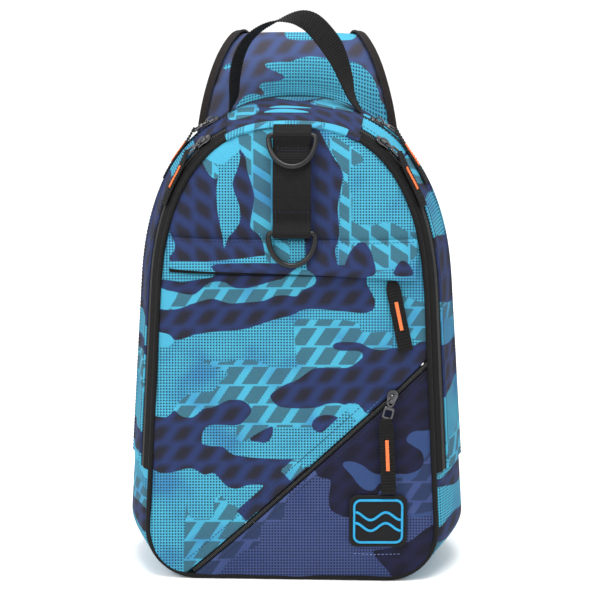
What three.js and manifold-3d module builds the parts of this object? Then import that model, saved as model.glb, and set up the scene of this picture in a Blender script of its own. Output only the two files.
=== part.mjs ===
// A one-strap fishing backpack: an arched soft bag with two zips down each side, a welted front with a
// flapped pocket and a slanting corner pocket, a grab handle, two D rings on a webbing and a padded strap.
// Millimetres. X runs to the viewer's right, Y from the front of the bag to its back, Z up. The origin is
// the centre of the flat base.
import * as THREE from "three";
import Module from "manifold-3d";

const wasm = await Module();
wasm.setup();

// Main body
const HALF_WIDTH_FRONT = 121;
const HALF_WIDTH_BACK = 119.5;
const HEIGHT_FRONT = 371;
const HEIGHT_BACK = 376;
const SPRING_HEIGHT = 227;
const SIDE_SLOPE = 0.053;
const ARCH_POWER = 2.56;
const CORNER_RADIUS = 42;
const DEPTH_AT_FOOT = 117;
const FRONT_LEAN = 24;
const LEFT_BULGE = 17;
const RIGHT_BULGE = 21;
const BULGE_TAPER = 0.24;
const TOP_BULGE_SHARE = 0.3;
const FRONT_CROWN = 9;
const CROWN_RUN = 46;
const CLOTH = 2;
const SEAM = 0.3;

// Piping and zips
const PIPING_RADIUS = 2.6;
const PIPING_GAP = 0.6;
const ZIP_WIDTH = 15.6;
const COIL_WIDTH = 5;
const COIL_RISE = 1.2;
const TAPE_DROP = 0.5;
const TAPE = 1.2;
const REAR_ZIP_FROM_BACK = 45;
const ZIP_FOOT_HEIGHT = 89;
const TOP_SEAM_X = 52;

// Front pockets
const FLAP_SEAM_Z = 279;
const FLAP_EDGE_Z = 254;
const FLAP_THICK = 1.4;
const FLAP_LIFT_SEAM = 0.5;
const FLAP_LIFT_EDGE = 4;
const POCKET_ZIP_LOW_Z = 249.3;
const POCKET_ZIP_HIGH_Z = 264.7;
const SLANT_FOOT_X = -80;
const SLANT_FOOT_Z = 6;
const SLANT_DEG = 42.8;
const SLANT_ZIP_WIDTH = 6;
const SLANT_COIL_WIDTH = 3;

// Back
const BACK_PAD = 11;
const BACK_PAD_RUN = 34;

// D rings and their webbing
const RING_WIRE = 2.2;
const RING_HALF_WIDTH = 18.3;
const RING_DROP = 25.5;
const RING_CORNER = 3;
const RING_WEB_HALF = 15;
const RING_WEB_THICK = 1.6;
const RING_CLEARANCE = 0.4;
const UPPER_BAR_Z = 362.6;
const LOWER_BAR_Z = 287;
const WEB_SLACK = 6.5;
const WEB_TUCK = 20;

// Grab handle and shoulder strap
const HANDLE_HALF = 10;
const HANDLE_THICK = 1.8;
const HANDLE_Y = 22;
const HANDLE_HALF_SPAN = 52.5;
const HANDLE_RISE = 74.5;
const STRAP_THICK = 11;
const STRAP_HALF_BASE = 83;
const STRAP_HALF_FOLD = 50;
const STRAP_HALF_END = 35;
const STRAP_REACH = 68;
const STRAP_RISE = 42;
const STRAP_FALL = 186;
const BINDING_REACH = 8;
const BINDING_THICK = 1.2;
const WEBBING_HALF = 12.5;
const WEBBING_THICK = 1.8;
const WEBBING_TUCK = 16;
const BUCKLE_FROM = 65;
const BUCKLE_LENGTH = 48;
const BUCKLE_HALF = 17;
const BUCKLE_THICK = 9;
const TAB_X = 90;
const TAB_Z = 37;
const TAB_LENGTH = 20;
const TAB_HALF = 17;
const TAB_THICK = 2.9;

// Sliders, pulls and badge
const SLIDER_LENGTH = 13;
const SLIDER_WIDTH = 9;
const PULL_HALF = 6;
const PULL_THICK = 1.6;
const PULL_LIFT = 3.2;
const PULL_GAP = 0.8;
const SIDE_PULL_LENGTH = 50;
const REAR_PULL_DRIFT_LEFT = 4;
const REAR_PULL_DRIFT_RIGHT = -9;
const SLIDER_REAR_X = 62;
const SLIDER_FRONT_X = 68;
const PULLER_LENGTH = 15;
const POCKET_SLIDER_X = 78.5;
const POCKET_PULL_LENGTH = 57;
const POCKET_PULL_LEAN = 12;
const POCKET_PULL_LIFT = 1.5;
const SLANT_SLIDER_ALONG = 217;
const SLANT_PULLER_LEAN = -3.9;
const SLANT_PULL_LENGTH = 60;
const SLANT_PULL_LEAN = 2.8;
const BADGE_HALF_X = 23.2;
const BADGE_HALF_Z = 21.6;
const BADGE_X = 69.8;
const BADGE_Z = 53.2;
const BADGE_CORNER = 6.4;
const BADGE_THICK = 2;
const LINE_RISE = 0.8;
const LINE_HALF = 1.3;
const LINE_MARGIN = 3;
const WAVE_RISE = 3.2;
const WAVE_APART = 9;

const V = (x, y, z) => new THREE.Vector3(x, y, z);
const lerp = THREE.MathUtils.lerp;
const clamp = THREE.MathUtils.clamp;

// A ring is the outline of the bag in one plane: a flat foot, round corners, leaning sides and an arch.
function ringOf(halfWidth, height) {
  const lean = Math.atan(SIDE_SLOPE);
  const reach = halfWidth * Math.cos(lean);
  const cornerX = (reach - CORNER_RADIUS * (1 + Math.sin(lean))) / Math.cos(lean);
  const spring = height * (SPRING_HEIGHT / HEIGHT_FRONT);
  return { halfWidth, height, lean, cornerX, spring, rise: height - spring };
}

const FRONT = ringOf(HALF_WIDTH_FRONT, HEIGHT_FRONT);
const BACK = ringOf(HALF_WIDTH_BACK, HEIGHT_BACK);

// Shares of the way round half a ring at which the foot, the corner and the side end.
const WAY = (() => {
  const foot = FRONT.cornerX;
  const corner = CORNER_RADIUS * (Math.PI / 2 + FRONT.lean);
  const side = FRONT.spring - CORNER_RADIUS;
  const arch = (Math.PI / 4) * (FRONT.halfWidth + FRONT.rise);
  const all = foot + corner + side + arch;
  return {
    foot: foot / all,
    corner: (foot + corner) / all,
    side: (foot + corner + side) / all,
    length: all,
  };
})();

// The shares of the way at which every strip and edge has a station, closest where the ring turns most.
const evenly = (a, b, n) => Array.from({ length: n + 1 }, (_, i) => lerp(a, b, i / n));
const STOPS = [
  ...evenly(0, WAY.foot, 2),
  ...evenly(WAY.foot, WAY.corner, 6).slice(1),
  ...evenly(WAY.corner, WAY.side, 4).slice(1),
  ...evenly(WAY.side, 1, 11).slice(1),
];

// The stations between two shares, both ends among them.
function stopsBetween(from, to) {
  const [low, high] = [Math.min(from, to), Math.max(from, to)];
  const near = 0.004;
  const inside = STOPS.filter((u) => u > low + near && u < high - near);
  const all = [low, ...inside, high];
  return from < to ? all : all.reverse();
}

// The point of half a ring at share u of the way from the middle of the foot to the top of the arch.
function ringPoint(ring, u) {
  const springHalf = ring.halfWidth - ring.spring * SIDE_SLOPE;
  if (u <= WAY.foot) return [ring.cornerX * (u / WAY.foot), 0];
  const cornerEnd = [
    ring.cornerX + CORNER_RADIUS * Math.cos(ring.lean),
    CORNER_RADIUS + CORNER_RADIUS * Math.sin(ring.lean),
  ];
  if (u <= WAY.corner) {
    const share = (u - WAY.foot) / (WAY.corner - WAY.foot);
    const angle = lerp(-Math.PI / 2, ring.lean, share);
    return [
      ring.cornerX + CORNER_RADIUS * Math.cos(angle),
      CORNER_RADIUS + CORNER_RADIUS * Math.sin(angle),
    ];
  }
  if (u <= WAY.side) {
    const share = (u - WAY.corner) / (WAY.side - WAY.corner);
    return [lerp(cornerEnd[0], springHalf, share), lerp(cornerEnd[1], ring.spring, share)];
  }
  const angle = ((u - WAY.side) / (1 - WAY.side)) * (Math.PI / 2);
  const z = ring.spring + ring.rise * Math.pow(Math.sin(angle), 2 / ARCH_POWER);
  const across = Math.pow(Math.max(Math.cos(angle), 0), 2 / ARCH_POWER);
  return [(ring.halfWidth - z * SIDE_SLOPE) * across, z];
}

// Half the width of the front at a height, from the foot's corner to the top.
function halfWidthAt(z, ring = FRONT) {
  const leaning = ring.halfWidth - z * SIDE_SLOPE;
  if (z <= ring.spring) return leaning;
  const sine = Math.pow(clamp((z - ring.spring) / ring.rise, 0, 1), ARCH_POWER / 2);
  return leaning * Math.pow(Math.max(1 - sine * sine, 0), 1 / ARCH_POWER);
}

// The height of the arch over a distance from the middle.
function archHeightAt(x, ring = FRONT) {
  let low = ring.spring;
  let high = ring.height;
  for (let i = 0; i < 24; i++) {
    const middle = (low + high) / 2;
    if (halfWidthAt(middle, ring) > Math.abs(x)) low = middle;
    else high = middle;
  }
  return (low + high) / 2;
}

// The share u at which a test first holds, found by halving.
function wayWhere(test, from = 0, to = 1) {
  let low = from;
  let high = to;
  for (let i = 0; i < 30; i++) {
    const middle = (low + high) / 2;
    if (test(ringPoint(FRONT, middle))) high = middle;
    else low = middle;
  }
  return (low + high) / 2;
}

const WAY_ZIP_FOOT = wayWhere((p) => p[1] > ZIP_FOOT_HEIGHT, WAY.foot);
const WAY_TOP_SEAM = wayWhere((p) => p[0] < TOP_SEAM_X, WAY.side);

const frontEdgeY = (z) => -DEPTH_AT_FOOT / 2 + FRONT_LEAN * (z / HEIGHT_FRONT);
const BACK_Y = DEPTH_AT_FOOT / 2;

// How far the sides swell out at share u: nothing on the foot, all on the sides, a little on top.
function bulgeShare(u) {
  if (u <= WAY.foot) return 0;
  if (u <= WAY.corner) {
    const share = (u - WAY.foot) / (WAY.corner - WAY.foot);
    return share * share * (3 - 2 * share);
  }
  if (u <= WAY.side) return 1;
  const angle = ((u - WAY.side) / (1 - WAY.side)) * (Math.PI / 2);
  return lerp(TOP_BULGE_SHARE, 1, Math.cos(angle) ** 2);
}

// The outward direction of a ring in its own plane.
function ringNormal(u) {
  const step = 1e-3;
  const a = ringPoint(FRONT, Math.max(u - step, 0));
  const b = ringPoint(FRONT, Math.min(u + step, 1));
  const along = Math.hypot(b[0] - a[0], b[1] - a[1]) || 1;
  return [(b[1] - a[1]) / along, -(b[0] - a[0]) / along];
}

// A point of the gusset's outer face: side -1 or 1, share u round the ring and share t from front to back.
function skinBare(side, u, t) {
  const f = ringPoint(FRONT, u);
  const k = ringPoint(BACK, u);
  const n = ringNormal(u);
  const own = side < 0 ? LEFT_BULGE : RIGHT_BULGE;
  const swell = lerp(own, (LEFT_BULGE + RIGHT_BULGE) / 2, clamp((u - WAY.side) / (1 - WAY.side), 0, 1));
  const taper = 1 - BULGE_TAPER * (f[1] / HEIGHT_FRONT);
  const bulge = swell * taper * bulgeShare(u) * Math.sin(Math.PI * t);
  const x = lerp(f[0], k[0], t) + n[0] * bulge;
  const z = lerp(f[1], k[1], t) + Math.max(n[1], 0) * bulge;
  return V(side * x, lerp(frontEdgeY(f[1]), BACK_Y, t), z);
}

function skinNormal(side, u, t) {
  const step = 2e-3;
  const alongU = skinBare(side, Math.min(u + step, 1), t).sub(skinBare(side, Math.max(u - step, 0), t));
  const alongT = skinBare(side, u, t + step).sub(skinBare(side, u, t - step));
  return alongU.cross(alongT).multiplyScalar(-side).normalize();
}

function skin(side, u, t, lift = 0) {
  const place = skinBare(side, u, t);
  if (u <= WAY.foot) return place.add(V(0, 0, -lift));
  return place.addScaledVector(skinNormal(side, u, t), lift);
}

const depthAt = (u) => BACK_Y - frontEdgeY(ringPoint(FRONT, u)[1]);
const fromFront = (u, mm) => mm / depthAt(u);
const fromBack = (u, mm) => 1 - mm / depthAt(u);

// The front face, which swells forward away from its edges.
function frontY(x, z) {
  const side = Math.max(halfWidthAt(z) - Math.abs(x), 0.01);
  const top = Math.max(archHeightAt(x) - z, 0.01);
  const foot = Math.max(z, 0.01);
  const near = 1 / Math.sqrt(side ** -2 + top ** -2 + foot ** -2);
  return frontEdgeY(z) - FRONT_CROWN * Math.sin(Math.min(near / CROWN_RUN, 1) * (Math.PI / 2));
}

const front = (x, z, lift = 0) => V(x, frontY(x, z) - lift, z);

// Triangles from rings of points that all have the same count, each ring closed on itself.
function loft(rings, closed = false) {
  const count = rings[0].length;
  const points = [];
  for (const ring of rings) for (const p of ring) points.push(p.x, p.y, p.z);
  const index = [];
  const spans = closed ? rings.length : rings.length - 1;
  for (let i = 0; i < spans; i++) {
    const a = i * count;
    const b = ((i + 1) % rings.length) * count;
    for (let j = 0; j < count; j++) {
      const k = (j + 1) % count;
      index.push(a + j, b + j, b + k);
      index.push(a + j, b + k, a + k);
    }
  }
  if (!closed) {
    capWith(index, 0, count, false);
    capWith(index, (rings.length - 1) * count, count, true);
  }
  return outward(meshOf(points, index));
}

// Closes an end ring whose first half faces its second half, point for point.
function capWith(index, start, count, far) {
  for (let j = 0; j < count / 2 - 1; j++) {
    const a = start + j;
    const b = start + j + 1;
    const c = start + count - 2 - j;
    const d = start + count - 1 - j;
    const faces = far ? [[a, c, b], [a, d, c]] : [[a, b, c], [a, c, d]];
    for (const face of faces) if (new Set(face).size === 3) index.push(...face);
  }
}

function meshOf(points, index) {
  const made = new THREE.BufferGeometry();
  made.setAttribute("position", new THREE.Float32BufferAttribute(points, 3));
  made.setIndex(index);
  return made;
}

// Turns a geometry's faces round where they point inward.
function outward(geometry) {
  const p = geometry.attributes.position;
  const index = geometry.index.array;
  const [a, b, c] = [V(0, 0, 0), V(0, 0, 0), V(0, 0, 0)];
  let volume = 0;
  for (let i = 0; i < index.length; i += 3) {
    a.fromBufferAttribute(p, index[i]);
    b.fromBufferAttribute(p, index[i + 1]);
    c.fromBufferAttribute(p, index[i + 2]);
    volume += a.dot(b.cross(c));
  }
  if (volume < 0) {
    for (let i = 0; i < index.length; i += 3) [index[i + 1], index[i + 2]] = [index[i + 2], index[i + 1]];
  }
  return geometry;
}

// Joins an outer row of points and an inner row into one closed section.
const section = (outer, inner) => [...outer, ...inner.slice().reverse()];

// Solid helpers for the pieces that need a union or a cut.
function solidFrom(geometry) {
  const plain = geometry.index ? geometry.toNonIndexed() : geometry.clone();
  const p = plain.attributes.position;
  const keys = new Map();
  const vertices = [];
  const triangles = new Uint32Array(p.count);
  for (let i = 0; i < p.count; i++) {
    const key = [p.getX(i), p.getY(i), p.getZ(i)].map((v) => Math.round(v * 1e4)).join(" ");
    if (!keys.has(key)) {
      keys.set(key, vertices.length / 3);
      vertices.push(p.getX(i), p.getY(i), p.getZ(i));
    }
    triangles[i] = keys.get(key);
  }
  return new wasm.Manifold(
    new wasm.Mesh({ numProp: 3, vertProperties: new Float32Array(vertices), triVerts: triangles }),
  );
}

function geometryFrom(solid) {
  const mesh = solid.getMesh();
  return meshOf(Array.from(mesh.vertProperties), Array.from(mesh.triVerts));
}

function fuse(geometries, cuts = []) {
  let all = geometries.map(solidFrom).reduce((a, b) => a.add(b));
  for (const cut of cuts) all = all.subtract(solidFrom(cut));
  return geometryFrom(all);
}

// Beside the piping a strip starts this far behind the ring, and is tucked in by this much.
const FIRST_ROW = PIPING_RADIUS + SEAM;
const tuckAt = (u, t) => (Math.min(t, 1 - t) * depthAt(u) < FIRST_ROW + SEAM ? PIPING_RADIUS / 2 : 0);

// A strip of the gusset between two shares of the way round, with a row of shares and lifts across it.
function gussetStrip(side, from, to, rowAt, inner) {
  const rings = [];
  for (const u of stopsBetween(from, to)) {
    const row = rowAt(u);
    rings.push(
      section(
        row.map(([t, lift]) => skin(side, u, t, lift - tuckAt(u, t))),
        row.map(([t]) => skin(side, u, t, -inner - tuckAt(u, t))),
      ),
    );
  }
  return loft(rings);
}

// The cross row of a zip: tape, coil, tape.
function zipRow(t0, t1, coilShare) {
  const coil0 = lerp(t0, t1, 0.5 - coilShare / 2);
  const coil1 = lerp(t0, t1, 0.5 + coilShare / 2);
  const rise = COIL_RISE - TAPE_DROP;
  return [
    [t0, -TAPE_DROP],
    [coil0, -TAPE_DROP],
    [lerp(coil0, coil1, 0.2), rise],
    [lerp(coil0, coil1, 0.8), rise],
    [coil1, -TAPE_DROP],
    [t1, -TAPE_DROP],
  ];
}

const frontZipSpan = (u) => [fromFront(u, FIRST_ROW), fromFront(u, FIRST_ROW + ZIP_WIDTH)];
const rearZipSpan = (u) => [
  fromBack(u, REAR_ZIP_FROM_BACK + ZIP_WIDTH),
  fromBack(u, REAR_ZIP_FROM_BACK),
];
const seamShare = (u) => SEAM / depthAt(u);
const flatRow = (a, b, n) => evenly(a, b, n).map((t) => [t, 0]);

const WAY_GAP = SEAM / WAY.length;

function sideZip(side, spanAt) {
  const row = (u) => zipRow(...spanAt(u), COIL_WIDTH / ZIP_WIDTH);
  return gussetStrip(side, WAY_ZIP_FOOT, WAY_TOP_SEAM, row, TAPE_DROP + TAPE);
}

function middleGusset(side) {
  const row = (u) => flatRow(frontZipSpan(u)[1] + seamShare(u), rearZipSpan(u)[0] - seamShare(u), 3);
  return gussetStrip(side, WAY_ZIP_FOOT, WAY_TOP_SEAM, row, CLOTH);
}

function rearGusset(side) {
  const row = (u) => flatRow(rearZipSpan(u)[1] + seamShare(u), fromBack(u, FIRST_ROW), 4);
  return gussetStrip(side, WAY_ZIP_FOOT, WAY_TOP_SEAM, row, CLOTH);
}

// A piece of gusset that crosses the middle, given as signed shares of the way round.
function crossGusset(end, middle) {
  const half = stopsBetween(middle, end);
  const stations = [...half.slice(1).reverse().map((u) => [-1, u]), ...half.map((u) => [1, u])];
  const rings = stations.map(([side, u]) => {
    const row = evenly(fromFront(u, FIRST_ROW), fromBack(u, FIRST_ROW), 6);
    return section(
      row.map((t) => skin(side, u, t, -tuckAt(u, t))),
      row.map((t) => skin(side, u, t, -CLOTH - tuckAt(u, t))),
    );
  });
  return loft(rings);
}

const baseGusset = () => crossGusset(WAY_ZIP_FOOT - WAY_GAP, 0);
const topGusset = () => crossGusset(WAY_TOP_SEAM + WAY_GAP, 1);

// A round cord sewn along the front or the back edge, all the way round.
function piping(ring, yAt) {
  const sides = 6;
  const rings = [];
  const stations = [...STOPS.map((u) => [1, u]), ...STOPS.slice(1, -1).reverse().map((u) => [-1, u])];
  for (const [side, u] of stations) {
    const [x, z] = ringPoint(ring, u);
    const n = ringNormal(u);
    const loop = [];
    for (let j = 0; j < sides; j++) {
      const angle = (j / sides) * 2 * Math.PI;
      const out = PIPING_RADIUS * (Math.cos(angle) - 1);
      loop.push(V(side * (x + n[0] * out), yAt(z) + PIPING_RADIUS * Math.sin(angle), z + n[1] * out));
    }
    rings.push(loop);
  }
  return loft(rings, true);
}

// A sheet inside a star-shaped outline of [x, z] points, lofted in rings towards its centre.
function sheet(outline, centre, faceAt, shares) {
  const count = outline.length;
  const points = [];
  const index = [];
  for (const back of [false, true]) {
    for (const share of shares) {
      for (const [x, z] of outline) {
        const p = faceAt(lerp(centre[0], x, share), lerp(centre[1], z, share), back);
        points.push(p.x, p.y, p.z);
      }
    }
    const p = faceAt(centre[0], centre[1], back);
    points.push(p.x, p.y, p.z);
  }
  const perFace = shares.length * count + 1;
  for (const [start, flip] of [[0, false], [perFace, true]]) {
    for (let r = 0; r < shares.length; r++) {
      for (let j = 0; j < count; j++) {
        const k = (j + 1) % count;
        const a = start + r * count + j;
        const b = start + r * count + k;
        if (r === shares.length - 1) {
          const hub = start + perFace - 1;
          index.push(...(flip ? [a, hub, b] : [a, b, hub]));
        } else {
          const c = b + count;
          const d = a + count;
          index.push(...(flip ? [a, c, b, a, d, c] : [a, b, c, a, c, d]));
        }
      }
    }
  }
  for (let j = 0; j < count; j++) {
    const k = (j + 1) % count;
    index.push(j, perFace + j, perFace + k);
    index.push(j, perFace + k, k);
  }
  return outward(meshOf(points, index));
}

const PANEL_INSET = 2 * PIPING_RADIUS + PIPING_GAP;
const SHARES = [1, 0.88, 0.66, 0.36];
const frontSheet = (outline, centre) =>
  sheet(outline, centre, (x, z, back) => front(x, z, back ? -CLOTH : 0), SHARES);

// The inset edge of the front face at share u.
function insetPoint(side, u, inset = PANEL_INSET, ring = FRONT) {
  const [x, z] = ringPoint(ring, u);
  const n = ringNormal(u);
  return [side * (x - n[0] * inset), z - n[1] * inset];
}

function spanOfEdge(side, from, to, ring = FRONT) {
  return stopsBetween(from, to).map((u) => insetPoint(side, u, PANEL_INSET, ring));
}

const wayAtHeight = (height) => wayWhere((p) => p[1] > height, WAY.foot);

function upperPanel() {
  const foot = POCKET_ZIP_HIGH_Z + SEAM;
  const start = wayAtHeight(foot);
  const right = spanOfEdge(1, start, 1);
  const left = spanOfEdge(-1, 1, start).slice(1);
  const ends = [left[left.length - 1][0], right[0][0]];
  right[0][1] = foot;
  left[left.length - 1][1] = foot;
  const line = evenly(ends[0], ends[1], 8).slice(1, -1);
  return frontSheet([...right, ...left, ...line.map((x) => [x, foot])], [0, 310]);
}

// The slanting zip's line: how far along and how far to its upper left.
const SLANT = THREE.MathUtils.degToRad(SLANT_DEG);
const slantPoint = (along, off) => [
  SLANT_FOOT_X + along * Math.cos(SLANT) - off * Math.sin(SLANT),
  SLANT_FOOT_Z + along * Math.sin(SLANT) + off * Math.cos(SLANT),
];

// Where a line beside the slanting zip meets the foot and the right side of the front face.
function slantEnds(off) {
  const last = (along, step) => {
    let [inside, outside] = [along, along + step];
    for (let i = 0; i < 24; i++) {
      const middle = (inside + outside) / 2;
      if (onFront(...slantPoint(middle, off), PANEL_INSET)) inside = middle;
      else outside = middle;
    }
    return inside;
  };
  return [last(HALF_WIDTH_FRONT, -HEIGHT_FRONT), last(HALF_WIDTH_FRONT, HEIGHT_FRONT)];
}

// Whether a place on the front face is at least an inset inside its edge.
function onFront(x, z, inset) {
  const past = Math.abs(x) - FRONT.cornerX;
  if (z < CORNER_RADIUS && past > 0) return Math.hypot(past, z - CORNER_RADIUS) < CORNER_RADIUS - inset;
  return z > inset && Math.abs(x) < halfWidthAt(z) - inset * Math.hypot(1, SIDE_SLOPE);
}

function lowerPanel() {
  const top = POCKET_ZIP_LOW_Z - SEAM;
  const off = SLANT_ZIP_WIDTH / 2 + SEAM;
  const [lowAlong, highAlong] = slantEnds(off);
  const slant = evenly(highAlong, lowAlong, 9).map((a) => slantPoint(a, off));
  const foot = slant[slant.length - 1];
  const insetX = (x) => x - (Math.max(x - FRONT.cornerX, 0) * PANEL_INSET) / CORNER_RADIUS;
  const footWay = wayWhere((p) => insetX(p[0]) > -foot[0], 0, WAY.corner);
  const highWay = wayAtHeight(top);
  const left = spanOfEdge(-1, footWay, highWay).slice(1);
  const sideX = halfWidthAt(top) - PANEL_INSET;
  left[left.length - 1] = [-sideX, top];
  const line = evenly(-sideX, sideX, 8).slice(1);
  const right = evenly(top, slant[0][1], 3).slice(1, -1);
  const edge = right.map((z) => [halfWidthAt(z) - PANEL_INSET, z]);
  return frontSheet([...slant, ...left, ...line.map((x) => [x, top]), ...edge], [-38, 150]);
}

function cornerPocket() {
  const off = -SLANT_ZIP_WIDTH / 2 - SEAM;
  const [lowAlong, highAlong] = slantEnds(off);
  const slant = evenly(lowAlong, highAlong, 9).map((a) => slantPoint(a, off));
  const start = wayWhere((p) => p[1] > slant[slant.length - 1][1], WAY.foot);
  const right = spanOfEdge(1, start, WAY.foot).slice(1);
  const foot = evenly(right[right.length - 1][0], slant[0][0], 4).slice(1, -1);
  return frontSheet([...slant, ...right, ...foot.map((x) => [x, PANEL_INSET])], [52, 62]);
}

function slantZip() {
  const [lowAlong, highAlong] = slantEnds(0);
  const coil = SLANT_COIL_WIDTH / 2;
  const half = SLANT_ZIP_WIDTH / 2;
  const rise = COIL_RISE - TAPE_DROP;
  const rows = [
    [half, -TAPE_DROP],
    [coil, -TAPE_DROP],
    [0, rise],
    [-coil, -TAPE_DROP],
    [-half, -TAPE_DROP],
  ];
  const rings = evenly(lowAlong + half, highAlong - half, 14).map((a) => {
    const at = ([off, lift]) => front(...slantPoint(a, off), lift);
    return section(rows.map(at), rows.map(([off]) => at([off, -TAPE_DROP - TAPE])));
  });
  return loft(rings);
}

function pocketZip() {
  const middle = (POCKET_ZIP_LOW_Z + POCKET_ZIP_HIGH_Z) / 2;
  const reach = halfWidthAt(POCKET_ZIP_HIGH_Z) - PANEL_INSET;
  const rows = [
    [POCKET_ZIP_LOW_Z, -TAPE_DROP],
    [middle - COIL_WIDTH / 2, -TAPE_DROP],
    [middle, COIL_RISE - TAPE_DROP],
    [middle + COIL_WIDTH / 2, -TAPE_DROP],
    [POCKET_ZIP_HIGH_Z, -TAPE_DROP],
  ];
  const rings = evenly(-reach, reach, 12).map((x) =>
    section(
      rows.map(([z, lift]) => front(x, z, lift)),
      rows.map(([z]) => front(x, z, -TAPE_DROP - TAPE)),
    ),
  );
  return loft(rings);
}

// The flap over the pocket zip, sewn along its top and standing off along its free edge.
function stormFlap() {
  const reach = halfWidthAt(FLAP_SEAM_Z) - PANEL_INSET;
  const rings = evenly(-reach, reach, 14).map((x) => {
    const rows = evenly(0, 1, 3).map((s) => [
      lerp(FLAP_SEAM_Z, FLAP_EDGE_Z, s),
      lerp(FLAP_LIFT_SEAM, FLAP_LIFT_EDGE, Math.sqrt(s)),
    ]);
    return section(
      rows.map(([z, lift]) => front(x, z, lift + FLAP_THICK)),
      rows.map(([z, lift]) => front(x, z, lift)),
    );
  });
  return loft(rings);
}

// The padded back, a pillow inside the back edge.
function backPanel() {
  const outline = [
    ...spanOfEdge(1, 0, 1, BACK),
    ...spanOfEdge(-1, 1, 0, BACK).slice(1, -1),
  ];
  const face = (x, z, inner) => {
    if (inner) return V(x, BACK_Y - CLOTH / 2, z);
    const side = Math.max(halfWidthAt(z, BACK) - PANEL_INSET - Math.abs(x), 0);
    const top = Math.max(archHeightAt(x, BACK) - PANEL_INSET - z, 0);
    const near = Math.min(side, top, Math.max(z - PANEL_INSET, 0)) / BACK_PAD_RUN;
    const swell = Math.sin(Math.min(near, 1) * (Math.PI / 2));
    return V(x, BACK_Y + CLOTH + (BACK_PAD - CLOTH) * swell, z);
  };
  return sheet(outline, [0, 175], face, [1, 0.9, 0.7, 0.36]);
}

// A flat band along a path of centres, with a width direction and a thickness at each station.
function band(stations, halfWidth, thick) {
  const rings = stations.map(({ at, across, out, half }) => {
    const w = half ?? halfWidth;
    const corner = (a, b) => at.clone().addScaledVector(across, a * w).addScaledVector(out, b * thick);
    return section([corner(-1, 0.5), corner(1, 0.5)], [corner(-1, -0.5), corner(1, -0.5)]);
  });
  return loft(rings);
}

// The grab handle's centre line, as shares of half its span and of its rise, and the ribbon's twist in
// degrees: it hangs a little crooked and turns its outer face to the front on the right.
const HANDLE = [
  { x: -1, rise: 0, twist: 0 },
  { x: -0.943, rise: 0.148, twist: -16 },
  { x: -0.924, rise: 0.362, twist: -22 },
  { x: -0.867, rise: 0.57, twist: -24 },
  { x: -0.743, rise: 0.752, twist: -22 },
  { x: -0.552, rise: 0.879, twist: -18 },
  { x: -0.324, rise: 0.96, twist: -10 },
  { x: -0.0857, rise: 1, twist: 12 },
  { x: 0.105, rise: 0.993, twist: 36 },
  { x: 0.257, rise: 0.946, twist: 50 },
  { x: 0.4, rise: 0.846, twist: 56 },
  { x: 0.552, rise: 0.705, twist: 55 },
  { x: 0.676, rise: 0.537, twist: 42 },
  { x: 0.771, rise: 0.356, twist: 30 },
  { x: 0.867, rise: 0.148, twist: 12 },
  { x: 1, rise: 0, twist: 0 },
];

// The height of the top of the bag over a place.
function topHeightAt(x, y) {
  const shareAt = (u) => (y - frontEdgeY(ringPoint(FRONT, u)[1])) / depthAt(u);
  let low = WAY.side;
  let high = 1;
  for (let i = 0; i < 24; i++) {
    const middle = (low + high) / 2;
    if (skinBare(1, middle, shareAt(middle)).x > Math.abs(x)) low = middle;
    else high = middle;
  }
  return skinBare(1, low, shareAt(low)).z;
}

function handle() {
  const under = evenly(HANDLE_Y - HANDLE_HALF, HANDLE_Y + HANDLE_HALF, 4);
  const foot = Math.max(...under.map((y) => topHeightAt(HANDLE_HALF_SPAN - HANDLE_THICK, y)));
  const centre = HANDLE.map((r) => V(r.x * HANDLE_HALF_SPAN, HANDLE_Y, foot + SEAM + r.rise * HANDLE_RISE));
  const stations = HANDLE.map((row, i) => {
    const before = centre[Math.max(i - 1, 0)];
    const after = centre[Math.min(i + 1, centre.length - 1)];
    const along = after.clone().sub(before).normalize();
    const radial = V(-along.z, 0, along.x);
    const twist = THREE.MathUtils.degToRad(row.twist);
    const across = V(0, -Math.cos(twist), 0).addScaledVector(radial, -Math.sin(twist));
    return { at: centre[i], across, out: along.clone().cross(across).normalize() };
  });
  return band(stations, HANDLE_HALF, HANDLE_THICK);
}

// The shoulder strap's centre line behind the bag, from its seam at the top to its end: shares of how far
// it stands back, how high it rises and how far it falls, and how much of its extra width at the seam
// is left.
const STRAP = [
  { reach: 0.11, rise: 0.0714, fall: 0, wide: 1 },
  { reach: 0.14, rise: 0.333, fall: 0, wide: 0.88 },
  { reach: 0.221, rise: 0.643, fall: 0, wide: 0.64 },
  { reach: 0.353, rise: 0.869, fall: 0, wide: 0.4 },
  { reach: 0.529, rise: 1, fall: 0, wide: 0.18 },
  { reach: 0.721, rise: 0.976, fall: 0, wide: 0.05 },
  { reach: 0.882, rise: 0.786, fall: 0, wide: 0 },
  { reach: 0.971, rise: 0.381, fall: 0, wide: 0 },
  { reach: 1, rise: 0, fall: 0.043, wide: 0 },
  { reach: 0.971, rise: 0, fall: 0.269, wide: 0 },
  { reach: 0.897, rise: 0, fall: 0.516, wide: 0 },
  { reach: 0.809, rise: 0, fall: 0.763, wide: 0 },
  { reach: 0.706, rise: 0, fall: 1, wide: 0 },
];
const STRAP_CREST = 4;

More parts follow.
